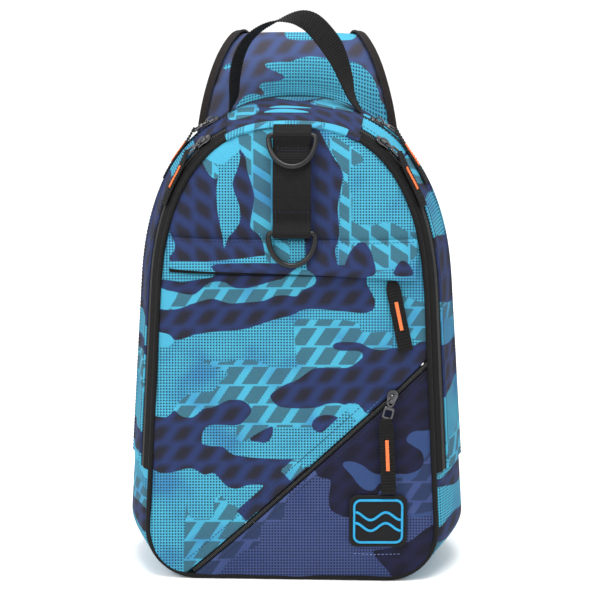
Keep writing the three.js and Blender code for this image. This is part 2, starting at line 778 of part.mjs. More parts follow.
// How wide the strap is, and how far its base follows the arch of the back.
function strapStations() {
  const last = STRAP.length - 1;
  const centre = STRAP.map((row) =>
    V(0, BACK_Y + row.reach * STRAP_REACH, HEIGHT_BACK + row.rise * STRAP_RISE - row.fall * STRAP_FALL),
  );
  return STRAP.map((row, i) => {
    const wide = lerp(STRAP_HALF_FOLD, STRAP_HALF_BASE, row.wide);
    const past = Math.max(i - STRAP_CREST - 1, 0) / (last - STRAP_CREST - 1);
    const half = wide * lerp(1, STRAP_HALF_END / STRAP_HALF_FOLD, past);
    const along = centre[Math.min(i + 1, last)].clone().sub(centre[Math.max(i - 1, 0)]).normalize();
    const out = V(0, -along.z, along.y);
    const droop = i < STRAP_CREST ? 1 - row.rise : 0;
    return { at: centre[i], along, out, half, droop };
  });
}

function strapPoint(station, share, lift) {
  const x = station.half * share;
  const drop = HEIGHT_BACK - archHeightAt(Math.min(Math.abs(x), HALF_WIDTH_BACK), BACK);
  const p = station.at.clone().addScaledVector(station.out, lift);
  return V(x, p.y, p.z - drop * station.droop);
}

function shoulderStrap() {
  const columns = [-1, -0.62, -0.2, 0.2, 0.62, 1];
  const swell = (c) => STRAP_THICK * 0.5 * (1 - 0.45 * Math.abs(c) ** 3);
  const reach = (s) => (s.half - BINDING_THICK - SEAM) / s.half;
  const rings = strapStations().map((s) =>
    section(
      columns.map((c) => strapPoint(s, c * reach(s), swell(c))),
      columns.map((c) => strapPoint(s, c * reach(s), -swell(c))),
    ),
  );
  return loft(rings);
}

// The binding folded over one long edge of the strap, a channel in section.
function strapBinding(side) {
  const edge = STRAP_THICK * 0.5 * 0.55 + SEAM;
  const swell = (c) => STRAP_THICK * 0.5 * (1 - 0.45 * Math.abs(c) ** 3) + SEAM;
  const rings = strapStations().map((s) => {
    const near = side * (1 - BINDING_REACH / s.half);
    const inside = side * (1 - BINDING_THICK / s.half);
    const over = swell(near) + SEAM;
    return section(
      [
        strapPoint(s, near, over + BINDING_THICK),
        strapPoint(s, side, edge + BINDING_THICK),
        strapPoint(s, side, -edge - BINDING_THICK),
        strapPoint(s, near, -over - BINDING_THICK),
      ],
      [
        strapPoint(s, near, over),
        strapPoint(s, inside, edge),
        strapPoint(s, inside, -edge),
        strapPoint(s, near, -over),
      ],
    );
  });
  return loft(rings);
}

// The lower carry webbing: sewn under the strap's end, a buckle half way, and a tab in the bag's corner.
const [CARRY_HEAD, CARRY_START] = (() => {
  const behind = STRAP_THICK / 2 + WEBBING_THICK / 2 + 2 * SEAM;
  return strapStations()
    .slice(-2)
    .map((s) => s.at.clone().addScaledVector(s.out, behind));
})();
const CARRY_END = V(TAB_X, BACK_Y + BACK_PAD + WEBBING_THICK + SEAM, TAB_Z);
const CARRY_LENGTH = CARRY_START.distanceTo(CARRY_END);
const CARRY_HEADING = CARRY_END.clone().sub(CARRY_START).normalize();
const CARRY_ACROSS = (() => {
  const level = V(-CARRY_HEADING.z, 0, CARRY_HEADING.x);
  const out = CARRY_START.clone().sub(CARRY_HEAD).cross(V(1, 0, 0)).normalize();
  return level.addScaledVector(out, -level.dot(out)).normalize();
})();

// A point of the carry webbing, by its distance past the strap's end.
function carryPoint(mm) {
  if (mm < 0) return CARRY_START.clone().lerp(CARRY_HEAD, -mm / CARRY_START.distanceTo(CARRY_HEAD));
  return CARRY_START.clone().addScaledVector(CARRY_HEADING, mm);
}

function carryStations(from, to) {
  const rows = [...(from < 0 ? [from] : []), ...evenly(Math.max(from, 0), to, 3)].map(carryPoint);
  return rows.map((at, i) => {
    const before = rows[Math.max(i - 1, 0)];
    const after = rows[Math.min(i + 1, rows.length - 1)];
    const along = after.clone().sub(before).normalize();
    return { at, across: CARRY_ACROSS, out: along.cross(CARRY_ACROSS).normalize() };
  });
}

const carryWebbing = (from, to) => band(carryStations(from, to), WEBBING_HALF, WEBBING_THICK);

// The closed side-release buckle, plain, between the two webbings: shares of its length and width.
const BUCKLE = [
  { share: 0, half: 0.88, thick: 0.55 },
  { share: 0.1, half: 1, thick: 0.9 },
  { share: 0.45, half: 1, thick: 1 },
  { share: 0.5, half: 0.82, thick: 0.9 },
  { share: 0.82, half: 0.82, thick: 0.9 },
  { share: 0.9, half: 1, thick: 0.9 },
  { share: 1, half: 0.88, thick: 0.55 },
];

function buckle() {
  const out = CARRY_HEADING.clone().cross(CARRY_ACROSS).normalize();
  const rings = BUCKLE.map(({ share, half, thick }) => {
    const at = carryPoint(BUCKLE_FROM + SEAM + share * (BUCKLE_LENGTH - 2 * SEAM));
    const corner = (c, d) =>
      at.clone()
        .addScaledVector(CARRY_ACROSS, c * half * BUCKLE_HALF)
        .addScaledVector(out, d * thick * BUCKLE_THICK);
    return section(
      [corner(-1, 0.2), corner(-0.85, 0.5), corner(0.85, 0.5), corner(1, 0.2)],
      [corner(-1, -0.2), corner(-0.85, -0.5), corner(0.85, -0.5), corner(1, -0.2)],
    );
  });
  return loft(rings);
}

// The D ring: a straight bar and a round bow, hung from its bar.
function ringPath() {
  const half = RING_HALF_WIDTH;
  const points = evenly(-1, 1, 4).map((s) => [s * (half - RING_CORNER), 0]);
  const turn = [0.35, 0.75].map((a) => [
    half - RING_CORNER + RING_CORNER * Math.sin(a * (Math.PI / 2)),
    -RING_CORNER + RING_CORNER * Math.cos(a * (Math.PI / 2)),
  ]);
  const bow = evenly(0, Math.PI, 10).map((a) => [
    half * Math.cos(a),
    -RING_CORNER - (RING_DROP - RING_CORNER) * Math.sin(a),
  ]);
  return [...points, ...turn, ...bow, ...turn.map(([x, z]) => [-x, z]).reverse()];
}

function dRing(bar, hang) {
  const out = V(0, hang.z, -hang.y).normalize();
  const path = ringPath();
  const rings = path.map(([x, z], i) => {
    const before = path[(i + path.length - 1) % path.length];
    const after = path[(i + 1) % path.length];
    const along = new THREE.Vector2(after[0] - before[0], after[1] - before[1]).normalize();
    const at = bar.clone().addScaledVector(hang, -z).add(V(x, 0, 0));
    const inPlane = V(-along.y, 0, 0).addScaledVector(hang, -along.x);
    return evenly(0, 2 * Math.PI, 8).slice(0, -1).map((a) =>
      at.clone()
        .addScaledVector(inPlane, RING_WIRE * Math.cos(a))
        .addScaledVector(out, RING_WIRE * Math.sin(a)),
    );
  });
  return loft(rings, true);
}

const EYE_INNER = RING_WIRE + RING_CLEARANCE;
const EYE_OUTER = EYE_INNER + RING_WEB_THICK;
const BAR_LIFT = EYE_OUTER + 3 * SEAM;
const upperBar = () => front(0, UPPER_BAR_Z, BAR_LIFT);
const lowerBar = () => front(0, LOWER_BAR_Z, BAR_LIFT);
const HANG_RUN = RING_DROP * 0.96;
const upperHang = () => {
  const lift = webLift(UPPER_BAR_Z - HANG_RUN) + RING_WEB_THICK + RING_WIRE + 8 * SEAM;
  return front(0, UPPER_BAR_Z - HANG_RUN, lift).sub(upperBar()).normalize();
};
const lowerHang = () => {
  const lift = FLAP_LIFT_EDGE + FLAP_THICK + RING_WIRE + 2 * SEAM;
  return front(0, LOWER_BAR_Z - HANG_RUN, lift).sub(lowerBar()).normalize();
};

// How far the webbing between the rings stands off the front face.
function webLift(z) {
  const share = clamp((UPPER_BAR_Z - z) / (UPPER_BAR_Z - LOWER_BAR_Z), 0, 1);
  return 2 * SEAM + WEB_SLACK * Math.sin(Math.PI * share);
}

// The webbing: sewn in the top seam, round the upper bar, down the front and round the lower bar.
function ringWebbing() {
  const crossRod = (at, radius, half) => {
    const rod = new THREE.CylinderGeometry(radius, radius, 2 * half, 16);
    rod.rotateZ(Math.PI / 2);
    rod.translate(at.x, at.y, at.z);
    return rod;
  };
  const ribbon = (points) =>
    band(
      points.map((at, i) => {
        const before = points[Math.max(i - 1, 0)];
        const after = points[Math.min(i + 1, points.length - 1)];
        const along = after.clone().sub(before).normalize();
        return { at, across: V(1, 0, 0), out: V(0, along.z, -along.y) };
      }),
      RING_WEB_HALF,
      RING_WEB_THICK,
    );
  const bars = [upperBar(), lowerBar()];
  const half = RING_WEB_THICK / 2;
  const topZ = HEIGHT_FRONT - PANEL_INSET;
  const head = [V(0, bars[0].y - EYE_OUTER * 0.2, UPPER_BAR_Z + EYE_OUTER - half), front(0, topZ, 2.4)];
  const run = evenly(UPPER_BAR_Z, LOWER_BAR_Z, 9).map((z) => front(0, z, webLift(z) + half));
  const tuck = LOWER_BAR_Z + WEB_TUCK;
  const under = [V(0, bars[1].y + EYE_OUTER - half, LOWER_BAR_Z), front(0, tuck, webLift(tuck) + half)];
  return fuse(
    [
      ribbon(run),
      ribbon(head),
      ribbon(under),
      crossRod(bars[0], EYE_OUTER, RING_WEB_HALF),
      crossRod(bars[1], EYE_OUTER, RING_WEB_HALF),
    ],
    [crossRod(bars[0], EYE_INNER, RING_WEB_HALF + 1), crossRod(bars[1], EYE_INNER, RING_WEB_HALF + 1)],
  );
}

// A slider in its own frame: along the zip, across it, and up from it.
function sliderShape(pullerLength, low) {
  const box = (length, width, height, x, z) => {
    const made = new THREE.BoxGeometry(length, width, height);
    made.translate(x, 0, z + height / 2);
    return made;
  };
  const body = new THREE.CylinderGeometry(SLIDER_WIDTH / 2, SLIDER_WIDTH / 2, low ? 1.2 : 2.4, 10);
  body.rotateX(Math.PI / 2);
  body.translate(-SLIDER_LENGTH / 4, 0, low ? 0.6 : 1.2);
  const tail = box(SLIDER_LENGTH / 2, SLIDER_WIDTH * 0.78, low ? 1.2 : 2.4, SLIDER_LENGTH / 8, 0);
  if (low) return [body, tail];
  const bridge = box(SLIDER_LENGTH * 0.62, 3, 3.2, -0.5, 2.2);
  const puller = box(pullerLength, SLIDER_WIDTH * 0.9, 1.6, pullerLength / 2 + 0.5, 2.2);
  return [body, tail, bridge, puller];
}

// Sets a slider on a place, with its directions along the zip and out from the cloth.
function placed(geometries, at, along, out, cuts = []) {
  const x = along.clone().addScaledVector(out, -along.dot(out)).normalize();
  const turn = new THREE.Matrix4().makeBasis(x, out.clone().cross(x), out).setPosition(at);
  for (const g of [...geometries, ...cuts]) g.applyMatrix4(turn);
  return fuse(geometries, cuts);
}

const SLIDER_LIFT = COIL_RISE - TAPE_DROP + 2 * SEAM;

// The slot in a puller through which the pull webbing is threaded.
function slot() {
  const cut = new THREE.BoxGeometry(3, SLIDER_WIDTH * 0.55, 4);
  cut.translate(PULLER_LENGTH - 2.5, 0, 3);
  return cut;
}

function sideSlider(side, x, spanAt) {
  const u = wayWhere((p) => p[0] < x, WAY.side);
  const [t0, t1] = spanAt(u);
  const t = (t0 + t1) / 2;
  const at = skin(side, u, t, SLIDER_LIFT);
  const along = skin(side, u - 0.01, t).sub(skin(side, u, t)).normalize();
  return placed(sliderShape(PULLER_LENGTH, false), at, along, skinNormal(side, u, t), [slot()]);
}

// The place just past the end of a side slider's puller, with its directions.
function pullerEnd(side, u, spanAt) {
  const [t0, t1] = spanAt(u);
  const t = (t0 + t1) / 2;
  const out = skinNormal(side, u, t);
  const along = skin(side, u - 0.01, t).sub(skin(side, u, t));
  along.addScaledVector(out, -along.dot(out)).normalize();
  const at = skin(side, u, t, SLIDER_LIFT + PULL_LIFT).addScaledVector(along, PULLER_LENGTH + PULL_GAP);
  return { at, across: out.clone().cross(along).normalize(), out };
}

// A pull webbing that hangs from a puller down along the side.
function sidePull(side, x, spanAt, drift) {
  const u0 = wayWhere((p) => p[0] < x, WAY.side);
  const start = u0 - (PULLER_LENGTH + PULL_GAP) / WAY.length;
  const middleAt = (u) => (spanAt(u)[0] + spanAt(u)[1]) / 2;
  const head = pullerEnd(side, u0, spanAt);
  const miss = head.at.clone().sub(skin(side, start, middleAt(start), SLIDER_LIFT + PULL_LIFT));
  const rest = evenly(0, 1, 5).slice(1).map((s) => {
    const u = start - (s * SIDE_PULL_LENGTH) / WAY.length;
    const t = middleAt(u) + (drift * s) / depthAt(u);
    const at = skin(side, u, t, SLIDER_LIFT + PULL_LIFT + Math.sin(Math.PI * s) * PULL_THICK);
    at.addScaledVector(miss, (1 - s) ** 2);
    const next = skin(side, u - 0.01, t, SLIDER_LIFT + PULL_LIFT);
    const normal = skinNormal(side, u, t);
    const along = next.sub(at).normalize();
    return { at, across: normal.clone().cross(along).normalize(), out: normal };
  });
  return band([head, ...rest], PULL_HALF, PULL_THICK);
}

// Sliders and pulls on the front: where the slider is, where the pull begins, and how far each leans.
const pocketPull = () => {
  const z = (POCKET_ZIP_LOW_Z + POCKET_ZIP_HIGH_Z) / 2 - COIL_RISE;
  const from = [POCKET_SLIDER_X, POCKET_ZIP_LOW_Z - SEAM];
  return {
    slider: [POCKET_SLIDER_X, z],
    heading: [0, -1],
    from,
    to: [from[0] + POCKET_PULL_LEAN, from[1] - POCKET_PULL_LENGTH],
  };
};
const slantPull = () => {
  const slider = slantPoint(SLANT_SLIDER_ALONG, 0);
  const from = [slider[0] + SLANT_PULLER_LEAN, slider[1] - PULLER_LENGTH - PULL_GAP - 3 * SEAM];
  return {
    slider,
    heading: [SLANT_PULLER_LEAN, -PULLER_LENGTH],
    from,
    to: [from[0] + SLANT_PULL_LEAN, from[1] - SLANT_PULL_LENGTH],
  };
};

function frontNormal(x, z) {
  const a = front(x + 1, z).sub(front(x - 1, z));
  const b = front(x, z + 1).sub(front(x, z - 1));
  return a.cross(b).normalize();
}

function frontSlider(row, low) {
  const [x, z] = row.slider;
  const along = V(row.heading[0], 0, row.heading[1]).normalize();
  const lift = low ? SLIDER_LIFT - SEAM : SLIDER_LIFT;
  const cuts = low ? [] : [slot()];
  return placed(sliderShape(PULLER_LENGTH, low), front(x, z, lift), along, frontNormal(x, z), cuts);
}

function frontPull(row, startLift, endLift) {
  const stations = evenly(0, 1, 5).map((s) => {
    const lift = lerp(startLift, endLift, Math.sqrt(s));
    const x = lerp(row.from[0], row.to[0], s);
    const z = lerp(row.from[1], row.to[1], s);
    const along = V(row.to[0] - row.from[0], 0, row.to[1] - row.from[1]).normalize();
    const out = frontNormal(x, z);
    return { at: front(x, z, lift), across: out.clone().cross(along).normalize(), out };
  });
  return band(stations, PULL_HALF, PULL_THICK);
}

// The rubber badge on the corner pocket.
function roundedRect(halfX, halfZ, corner, steps) {
  const points = [];
  for (const [sx, sz, start] of [[1, -1, -90], [1, 1, 0], [-1, 1, 90], [-1, -1, 180]]) {
    for (let i = 0; i <= steps; i++) {
      const angle = THREE.MathUtils.degToRad(start + (90 * i) / steps);
      points.push([
        BADGE_X + sx * (halfX - corner) + corner * Math.cos(angle),
        BADGE_Z + sz * (halfZ - corner) + corner * Math.sin(angle),
      ]);
    }
  }
  return points;
}

const badge = () =>
  sheet(
    roundedRect(BADGE_HALF_X, BADGE_HALF_Z, BADGE_CORNER, 3),
    [BADGE_X, BADGE_Z],
    (x, z, back) => front(x, z, 3 * SEAM + (back ? 0 : BADGE_THICK)),
    [1, 0.6],
  );

// How high over the cloth the raised lines of the badge begin and end.
const LINE_LOW = BADGE_THICK + 4.5 * SEAM;
const LINE_HIGH = LINE_LOW + LINE_RISE;
const OVER_BADGE_LIFT = LINE_HIGH + PULL_THICK / 2 + SEAM;

// The raised line round the badge and two waves across it.
function badgeRelief() {
  const rim = (inset) =>
    roundedRect(BADGE_HALF_X - inset, BADGE_HALF_Z - inset, BADGE_CORNER * (1 - inset / BADGE_HALF_X), 3);
  const outer = rim(LINE_MARGIN);
  const inner = rim(LINE_MARGIN + 2 * LINE_HALF);
  const rings = outer.map((p, i) => [
    front(...p, LINE_LOW),
    front(...p, LINE_HIGH),
    front(...inner[i], LINE_HIGH),
    front(...inner[i], LINE_LOW),
  ]);
  const wave = (height) => {
    const steps = 14;
    return loft(
      evenly(-1, 1, steps).map((s) => {
        const x = BADGE_X + s * (BADGE_HALF_X - LINE_MARGIN - LINE_HALF);
        const z = BADGE_Z + height + WAVE_RISE * Math.sin(s * 1.5 * Math.PI);
        const row = (lift) => [front(x, z + LINE_HALF, lift), front(x, z - LINE_HALF, lift)];
        return section(row(LINE_HIGH), row(LINE_LOW));
      }),
    );
  };
  return fuse([loft(rings, true), wave(WAVE_APART / 2), wave(-WAVE_APART / 2)]);
}

// The fabric tab at the foot of the back that holds the carry webbing.
function anchorTab() {
  const rings = [SEAM, TAB_LENGTH].map((mm) => {
    const share = mm / TAB_LENGTH;
    const at = carryPoint(CARRY_LENGTH + mm);
    at.y = lerp(CARRY_END.y, BACK_Y + BACK_PAD - WEBBING_THICK / 2, share);
    const half = lerp(WEBBING_HALF, TAB_HALF, share);
    const corner = (c, d) => at.clone().addScaledVector(CARRY_ACROSS, c * half).add(V(0, d * TAB_THICK, 0));
    return section([corner(-1, -0.5), corner(1, -0.5)], [corner(-1, 0.5), corner(1, 0.5)]);
  });
  return loft(rings);
}

const paint = (color, roughness, metalness = 0) =>
  new THREE.MeshStandardMaterial({ color, roughness, metalness });
const CAMO = () => paint(0x3f7f9f, 0.85);
const CAMO_DARK = () => paint(0x384a78, 0.85);
const BLACK_WEB = () => paint(0x1b1a1a, 0.8);
const BLACK_TAPE = () => paint(0x141416, 0.7);
const METAL = () => paint(0x2a2a2d, 0.35, 0.7);
const RUBBER = () => paint(0x17181b, 0.6);

const backpack = new THREE.Group();
backpack.name = "fishing_backpack";

function add(name, geometry, material) {
  const mesh = new THREE.Mesh(geometry, material);
  mesh.name = name;
  backpack.add(mesh);
}

add("front_panel_upper", upperPanel(), CAMO());
add("storm_flap", stormFlap(), CAMO_DARK());
add("front_pocket_zip", pocketZip(), BLACK_TAPE());
add("front_panel_lower", lowerPanel(), CAMO());
add("slant_zip", slantZip(), BLACK_TAPE());
add("corner_pocket_panel", cornerPocket(), CAMO_DARK());
add("front_piping", piping(FRONT, frontEdgeY), BLACK_TAPE());
add("back_piping", piping(BACK, () => BACK_Y), BLACK_TAPE());
add("top_gusset", topGusset(), CAMO_DARK());
add("base_gusset", baseGusset(), CAMO());
for (const [word, side] of [["left", -1], ["right", 1]]) {
  add("front_zip_" + word, sideZip(side, frontZipSpan), BLACK_TAPE());
  add("middle_gusset_" + word, middleGusset(side), CAMO());
  add("rear_zip_" + word, sideZip(side, rearZipSpan), BLACK_TAPE());
  add("rear_gusset_" + word, rearGusset(side), CAMO());
  add("front_slider_" + word, sideSlider(side, SLIDER_FRONT_X, frontZipSpan), METAL());
  add("rear_slider_" + word, sideSlider(side, SLIDER_REAR_X, rearZipSpan), METAL());
  add("front_pull_" + word, sidePull(side, SLIDER_FRONT_X, frontZipSpan, 0), BLACK_WEB());
  const drift = side < 0 ? REAR_PULL_DRIFT_LEFT : REAR_PULL_DRIFT_RIGHT;
  add("rear_pull_" + word, sidePull(side, SLIDER_REAR_X, rearZipSpan, drift), BLACK_WEB());
  add("strap_binding_" + word, strapBinding(side), BLACK_TAPE());
}
add("back_panel", backPanel(), BLACK_TAPE());
add("handle", handle(), BLACK_WEB());
add("shoulder_strap", shoulderStrap(), CAMO());
add("carry_webbing_upper", carryWebbing(-WEBBING_TUCK, BUCKLE_FROM), BLACK_WEB());
add("carry_webbing_lower", carryWebbing(BUCKLE_FROM + BUCKLE_LENGTH, CARRY_LENGTH), BLACK_WEB());
add("buckle", buckle(), paint(0x161618, 0.5));
add("anchor_tab", anchorTab(), BLACK_TAPE());
add("ring_webbing", ringWebbing(), BLACK_WEB());
add("d_ring_upper", dRing(upperBar(), upperHang()), METAL());
add("d_ring_lower", dRing(lowerBar(), lowerHang()), METAL());
add("pocket_slider", frontSlider(pocketPull(), true), METAL());
add("pocket_pull", frontPull(pocketPull(), POCKET_PULL_LIFT, POCKET_PULL_LIFT), BLACK_WEB());
add("slant_slider", frontSlider(slantPull(), false), METAL());
add("slant_pull", frontPull(slantPull(), SLIDER_LIFT + PULL_LIFT, OVER_BADGE_LIFT), BLACK_WEB());
add("badge", badge(), RUBBER());
add("badge_relief", badgeRelief(), paint(0x2b4f9a, 0.6));

export default backpack;
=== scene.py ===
"""A one-strap fishing backpack in camouflage cloth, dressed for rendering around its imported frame.

Metres. X runs to the viewer's right, Y from the front of the bag to its back, Z up.
"""

import math
from types import SimpleNamespace

import bmesh
import bpy
import numpy as np
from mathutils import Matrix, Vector


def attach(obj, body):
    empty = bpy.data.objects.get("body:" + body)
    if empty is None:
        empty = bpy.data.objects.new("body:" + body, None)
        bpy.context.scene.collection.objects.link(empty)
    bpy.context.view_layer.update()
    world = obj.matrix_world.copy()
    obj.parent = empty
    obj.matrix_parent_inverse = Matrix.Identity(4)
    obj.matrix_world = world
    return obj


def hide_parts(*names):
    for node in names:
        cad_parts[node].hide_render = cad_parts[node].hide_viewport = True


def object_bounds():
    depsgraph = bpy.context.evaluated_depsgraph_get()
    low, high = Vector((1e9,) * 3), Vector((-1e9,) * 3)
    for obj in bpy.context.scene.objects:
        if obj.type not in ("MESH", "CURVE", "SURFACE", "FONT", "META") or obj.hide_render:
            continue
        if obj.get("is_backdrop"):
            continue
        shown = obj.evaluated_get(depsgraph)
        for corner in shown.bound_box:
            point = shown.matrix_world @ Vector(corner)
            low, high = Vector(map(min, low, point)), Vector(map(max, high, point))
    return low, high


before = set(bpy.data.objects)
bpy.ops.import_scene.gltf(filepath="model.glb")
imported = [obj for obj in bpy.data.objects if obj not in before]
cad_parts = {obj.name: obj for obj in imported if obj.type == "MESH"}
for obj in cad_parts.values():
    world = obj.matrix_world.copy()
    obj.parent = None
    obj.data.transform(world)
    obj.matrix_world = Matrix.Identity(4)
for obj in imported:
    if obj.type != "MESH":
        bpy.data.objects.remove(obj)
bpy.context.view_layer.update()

# Studio: a pale floor, one broad soft light high on the left, a weaker one on the right and pale surroundings,
# seen from just above the middle of the bag.
AZIMUTH = math.radians(2.2)
ELEVATION = math.radians(15.5)
CAMERA_DISTANCE = 2.0
AIM = Vector((0, -0.02, 0.19))
FOCAL_MM = 148.8
SHIFT_RIGHT = 0.011
SHIFT_UP = 0.0683

camera = bpy.data.objects.new("camera", bpy.data.cameras.new("camera"))
scene = bpy.context.scene
scene.collection.objects.link(camera)
back = Vector((
    math.sin(AZIMUTH) * math.cos(ELEVATION),
    -math.cos(AZIMUTH) * math.cos(ELEVATION),
    math.sin(ELEVATION),
))
camera.location = AIM + back * CAMERA_DISTANCE
camera.rotation_mode = "QUATERNION"
camera.rotation_quaternion = (-back).to_track_quat("-Z", "Y")
camera.data.lens = FOCAL_MM
camera.data.shift_x = SHIFT_RIGHT
camera.data.shift_y = SHIFT_UP
scene.camera = camera
scene.view_settings.view_transform = "Standard"


def area_light(name, place, aim, size, power):
    light = bpy.data.lights.new(name, "AREA")
    light.shape = "DISK"
    light.size = size
    light.energy = power
    lamp = bpy.data.objects.new(name, light)
    scene.collection.objects.link(lamp)
    lamp.location = place
    lamp.rotation_mode = "QUATERNION"
    lamp.rotation_quaternion = (Vector(aim) - Vector(place)).to_track_quat("-Z", "Y")


area_light("key_light", (-1.3, -1.5, 1.7), (0, 0, 0.2), 1.1, 24)
area_light("fill_light", (1.6, -1.7, 0.9), (0, 0, 0.2), 1.5, 3.5)
area_light("top_light", (0.1, -0.5, 2.3), (0, 0, 0.3), 1.2, 46)

world = bpy.data.worlds.new("studio")
world.use_nodes = True
sky = world.node_tree.nodes["Background"].inputs
sky["Color"].default_value = (1, 1, 1, 1)
sky["Strength"].default_value = 1.0
scene.world = world

floor_mesh = bpy.data.meshes.new("floor")
floor_mesh.from_pydata([(-4, -4, 0), (4, -4, 0), (4, 4, 0), (-4, 4, 0)], [], [(0, 1, 2, 3)])
floor = bpy.data.objects.new("floor", floor_mesh)
scene.collection.objects.link(floor)
floor_paint = bpy.data.materials.new("floor_paint")
floor_paint.use_nodes = True
floor_inputs = floor_paint.node_tree.nodes["Principled BSDF"].inputs
floor_inputs["Base Color"].default_value = (0.94, 0.94, 0.94, 1)
floor_inputs["Roughness"].default_value = 0.9
floor_mesh.materials.append(floor_paint)
floor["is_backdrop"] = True

# The cloth shell: an arched outline in front and one behind, joined by a gusset that swells out at the sides.
# Every cloth piece, zip and welt of the body is laid on these two surfaces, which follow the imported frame.
HALF_WIDTH_FRONT = 0.121
HALF_WIDTH_BACK = 0.1195
HEIGHT_FRONT = 0.371
HEIGHT_BACK = 0.376
SPRING_HEIGHT = 0.227
SIDE_SLOPE = 0.053
ARCH_POWER = 2.56
CORNER_RADIUS = 0.042
DEPTH_AT_FOOT = 0.117
FRONT_LEAN = 0.024
LEFT_BULGE = 0.017
RIGHT_BULGE = 0.021
BULGE_TAPER = 0.24
TOP_BULGE_SHARE = 0.3
FRONT_CROWN = 0.009
CROWN_RUN = 0.046
BACK_Y = DEPTH_AT_FOOT / 2
CLOTH = 0.0016


def outline_ring(half_width, height):
    lean = math.atan(SIDE_SLOPE)
    reach = half_width * math.cos(lean)
    corner_x = (reach - CORNER_RADIUS * (1 + math.sin(lean))) / math.cos(lean)
    spring = height * SPRING_HEIGHT / HEIGHT_FRONT
    return SimpleNamespace(
        half_width=half_width, height=height, lean=lean, corner_x=corner_x, spring=spring, rise=height - spring
    )


FRONT = outline_ring(HALF_WIDTH_FRONT, HEIGHT_FRONT)
BACK = outline_ring(HALF_WIDTH_BACK, HEIGHT_BACK)
CORNER_WAY = CORNER_RADIUS * (math.pi / 2 + FRONT.lean)
SIDE_WAY = FRONT.spring - CORNER_RADIUS
ARCH_WAY = math.pi / 4 * (FRONT.half_width + FRONT.rise)
WAY_LENGTH = FRONT.corner_x + CORNER_WAY + SIDE_WAY + ARCH_WAY
WAY_FOOT = FRONT.corner_x / WAY_LENGTH
WAY_CORNER = WAY_FOOT + CORNER_WAY / WAY_LENGTH
WAY_SIDE = WAY_CORNER + SIDE_WAY / WAY_LENGTH


def arch_angle(u):
    return np.clip((u - WAY_SIDE) / (1 - WAY_SIDE), 0, 1) * math.pi / 2


def ring_point(ring, u):
    """x and z of half an outline at share u of the way from the middle of its foot to the top."""
    u = np.clip(np.asarray(u, float), 0, 1)
    turn = -math.pi / 2 + np.clip((u - WAY_FOOT) / (WAY_CORNER - WAY_FOOT), 0, 1) * (math.pi / 2 + ring.lean)
    corner = (ring.corner_x + CORNER_RADIUS * np.cos(turn), CORNER_RADIUS * (1 + np.sin(turn)))
    end = (ring.corner_x + CORNER_RADIUS * math.cos(ring.lean), CORNER_RADIUS * (1 + math.sin(ring.lean)))
    share = np.clip((u - WAY_CORNER) / (WAY_SIDE - WAY_CORNER), 0, 1)
    side = (
        end[0] + (ring.half_width - ring.spring * SIDE_SLOPE - end[0]) * share,
        end[1] + (ring.spring - end[1]) * share,
    )
    angle = arch_angle(u)
    arch_z = ring.spring + ring.rise * np.sin(angle) ** (2 / ARCH_POWER)
    arch_x = (ring.half_width - arch_z * SIDE_SLOPE) * np.maximum(np.cos(angle), 0) ** (2 / ARCH_POWER)
    cases = [u <= WAY_FOOT, u <= WAY_CORNER, u <= WAY_SIDE]
    x = np.select(cases, [ring.corner_x * u / WAY_FOOT, corner[0], side[0]], arch_x)
    z = np.select(cases, [np.zeros_like(u), corner[1], side[1]], arch_z)
    return x, z


def ring_normal(u):
    step = 1e-3
    a = ring_point(FRONT, np.maximum(u - step, 0))
    b = ring_point(FRONT, np.minimum(u + step, 1))
    dx, dz = b[0] - a[0], b[1] - a[1]
    along = np.maximum(np.hypot(dx, dz), 1e-9)
    return dz / along, -dx / along


def way_where(value, wanted, low, high):
    """The share of the way at which a value of (x, z) that grows along it reaches what is wanted."""
    for _ in range(30):
        middle = (low + high) / 2
        if value(*ring_point(FRONT, middle)) > wanted:
            high = middle
        else:
            low = middle
    return (low + high) / 2


def half_width_at(z, ring=FRONT):
    leaning = ring.half_width - z * SIDE_SLOPE
    sine = np.clip((z - ring.spring) / ring.rise, 0, 1) ** (ARCH_POWER / 2)
    return np.where(z <= ring.spring, leaning, leaning * np.maximum(1 - sine * sine, 0) ** (1 / ARCH_POWER))


def arch_height_at(x, ring=FRONT):
    low = np.full(np.shape(x), ring.spring)
    high = np.full(np.shape(x), ring.height)
    for _ in range(24):
        middle = (low + high) / 2
        wider = half_width_at(middle, ring) > np.abs(x)
        low = np.where(wider, middle, low)
        high = np.where(wider, high, middle)
    return (low + high) / 2


def front_edge_y(z):
    return -DEPTH_AT_FOOT / 2 + FRONT_LEAN * z / HEIGHT_FRONT


def front(x, z, lift=0.0):
    """A point of the front face, raised from it by lift."""
    x, z, lift = np.broadcast_arrays(np.asarray(x, float), np.asarray(z, float), np.asarray(lift, float))
    side = np.maximum(half_width_at(z) - np.abs(x), 1e-5)
    top = np.maximum(arch_height_at(x) - z, 1e-5)
    foot = np.maximum(z, 1e-5)
    near = 1 / np.sqrt(side**-2 + top**-2 + foot**-2)
    y = front_edge_y(z) - FRONT_CROWN * np.sin(np.minimum(near / CROWN_RUN, 1) * math.pi / 2)
    return np.stack([x, y - lift, z], -1)


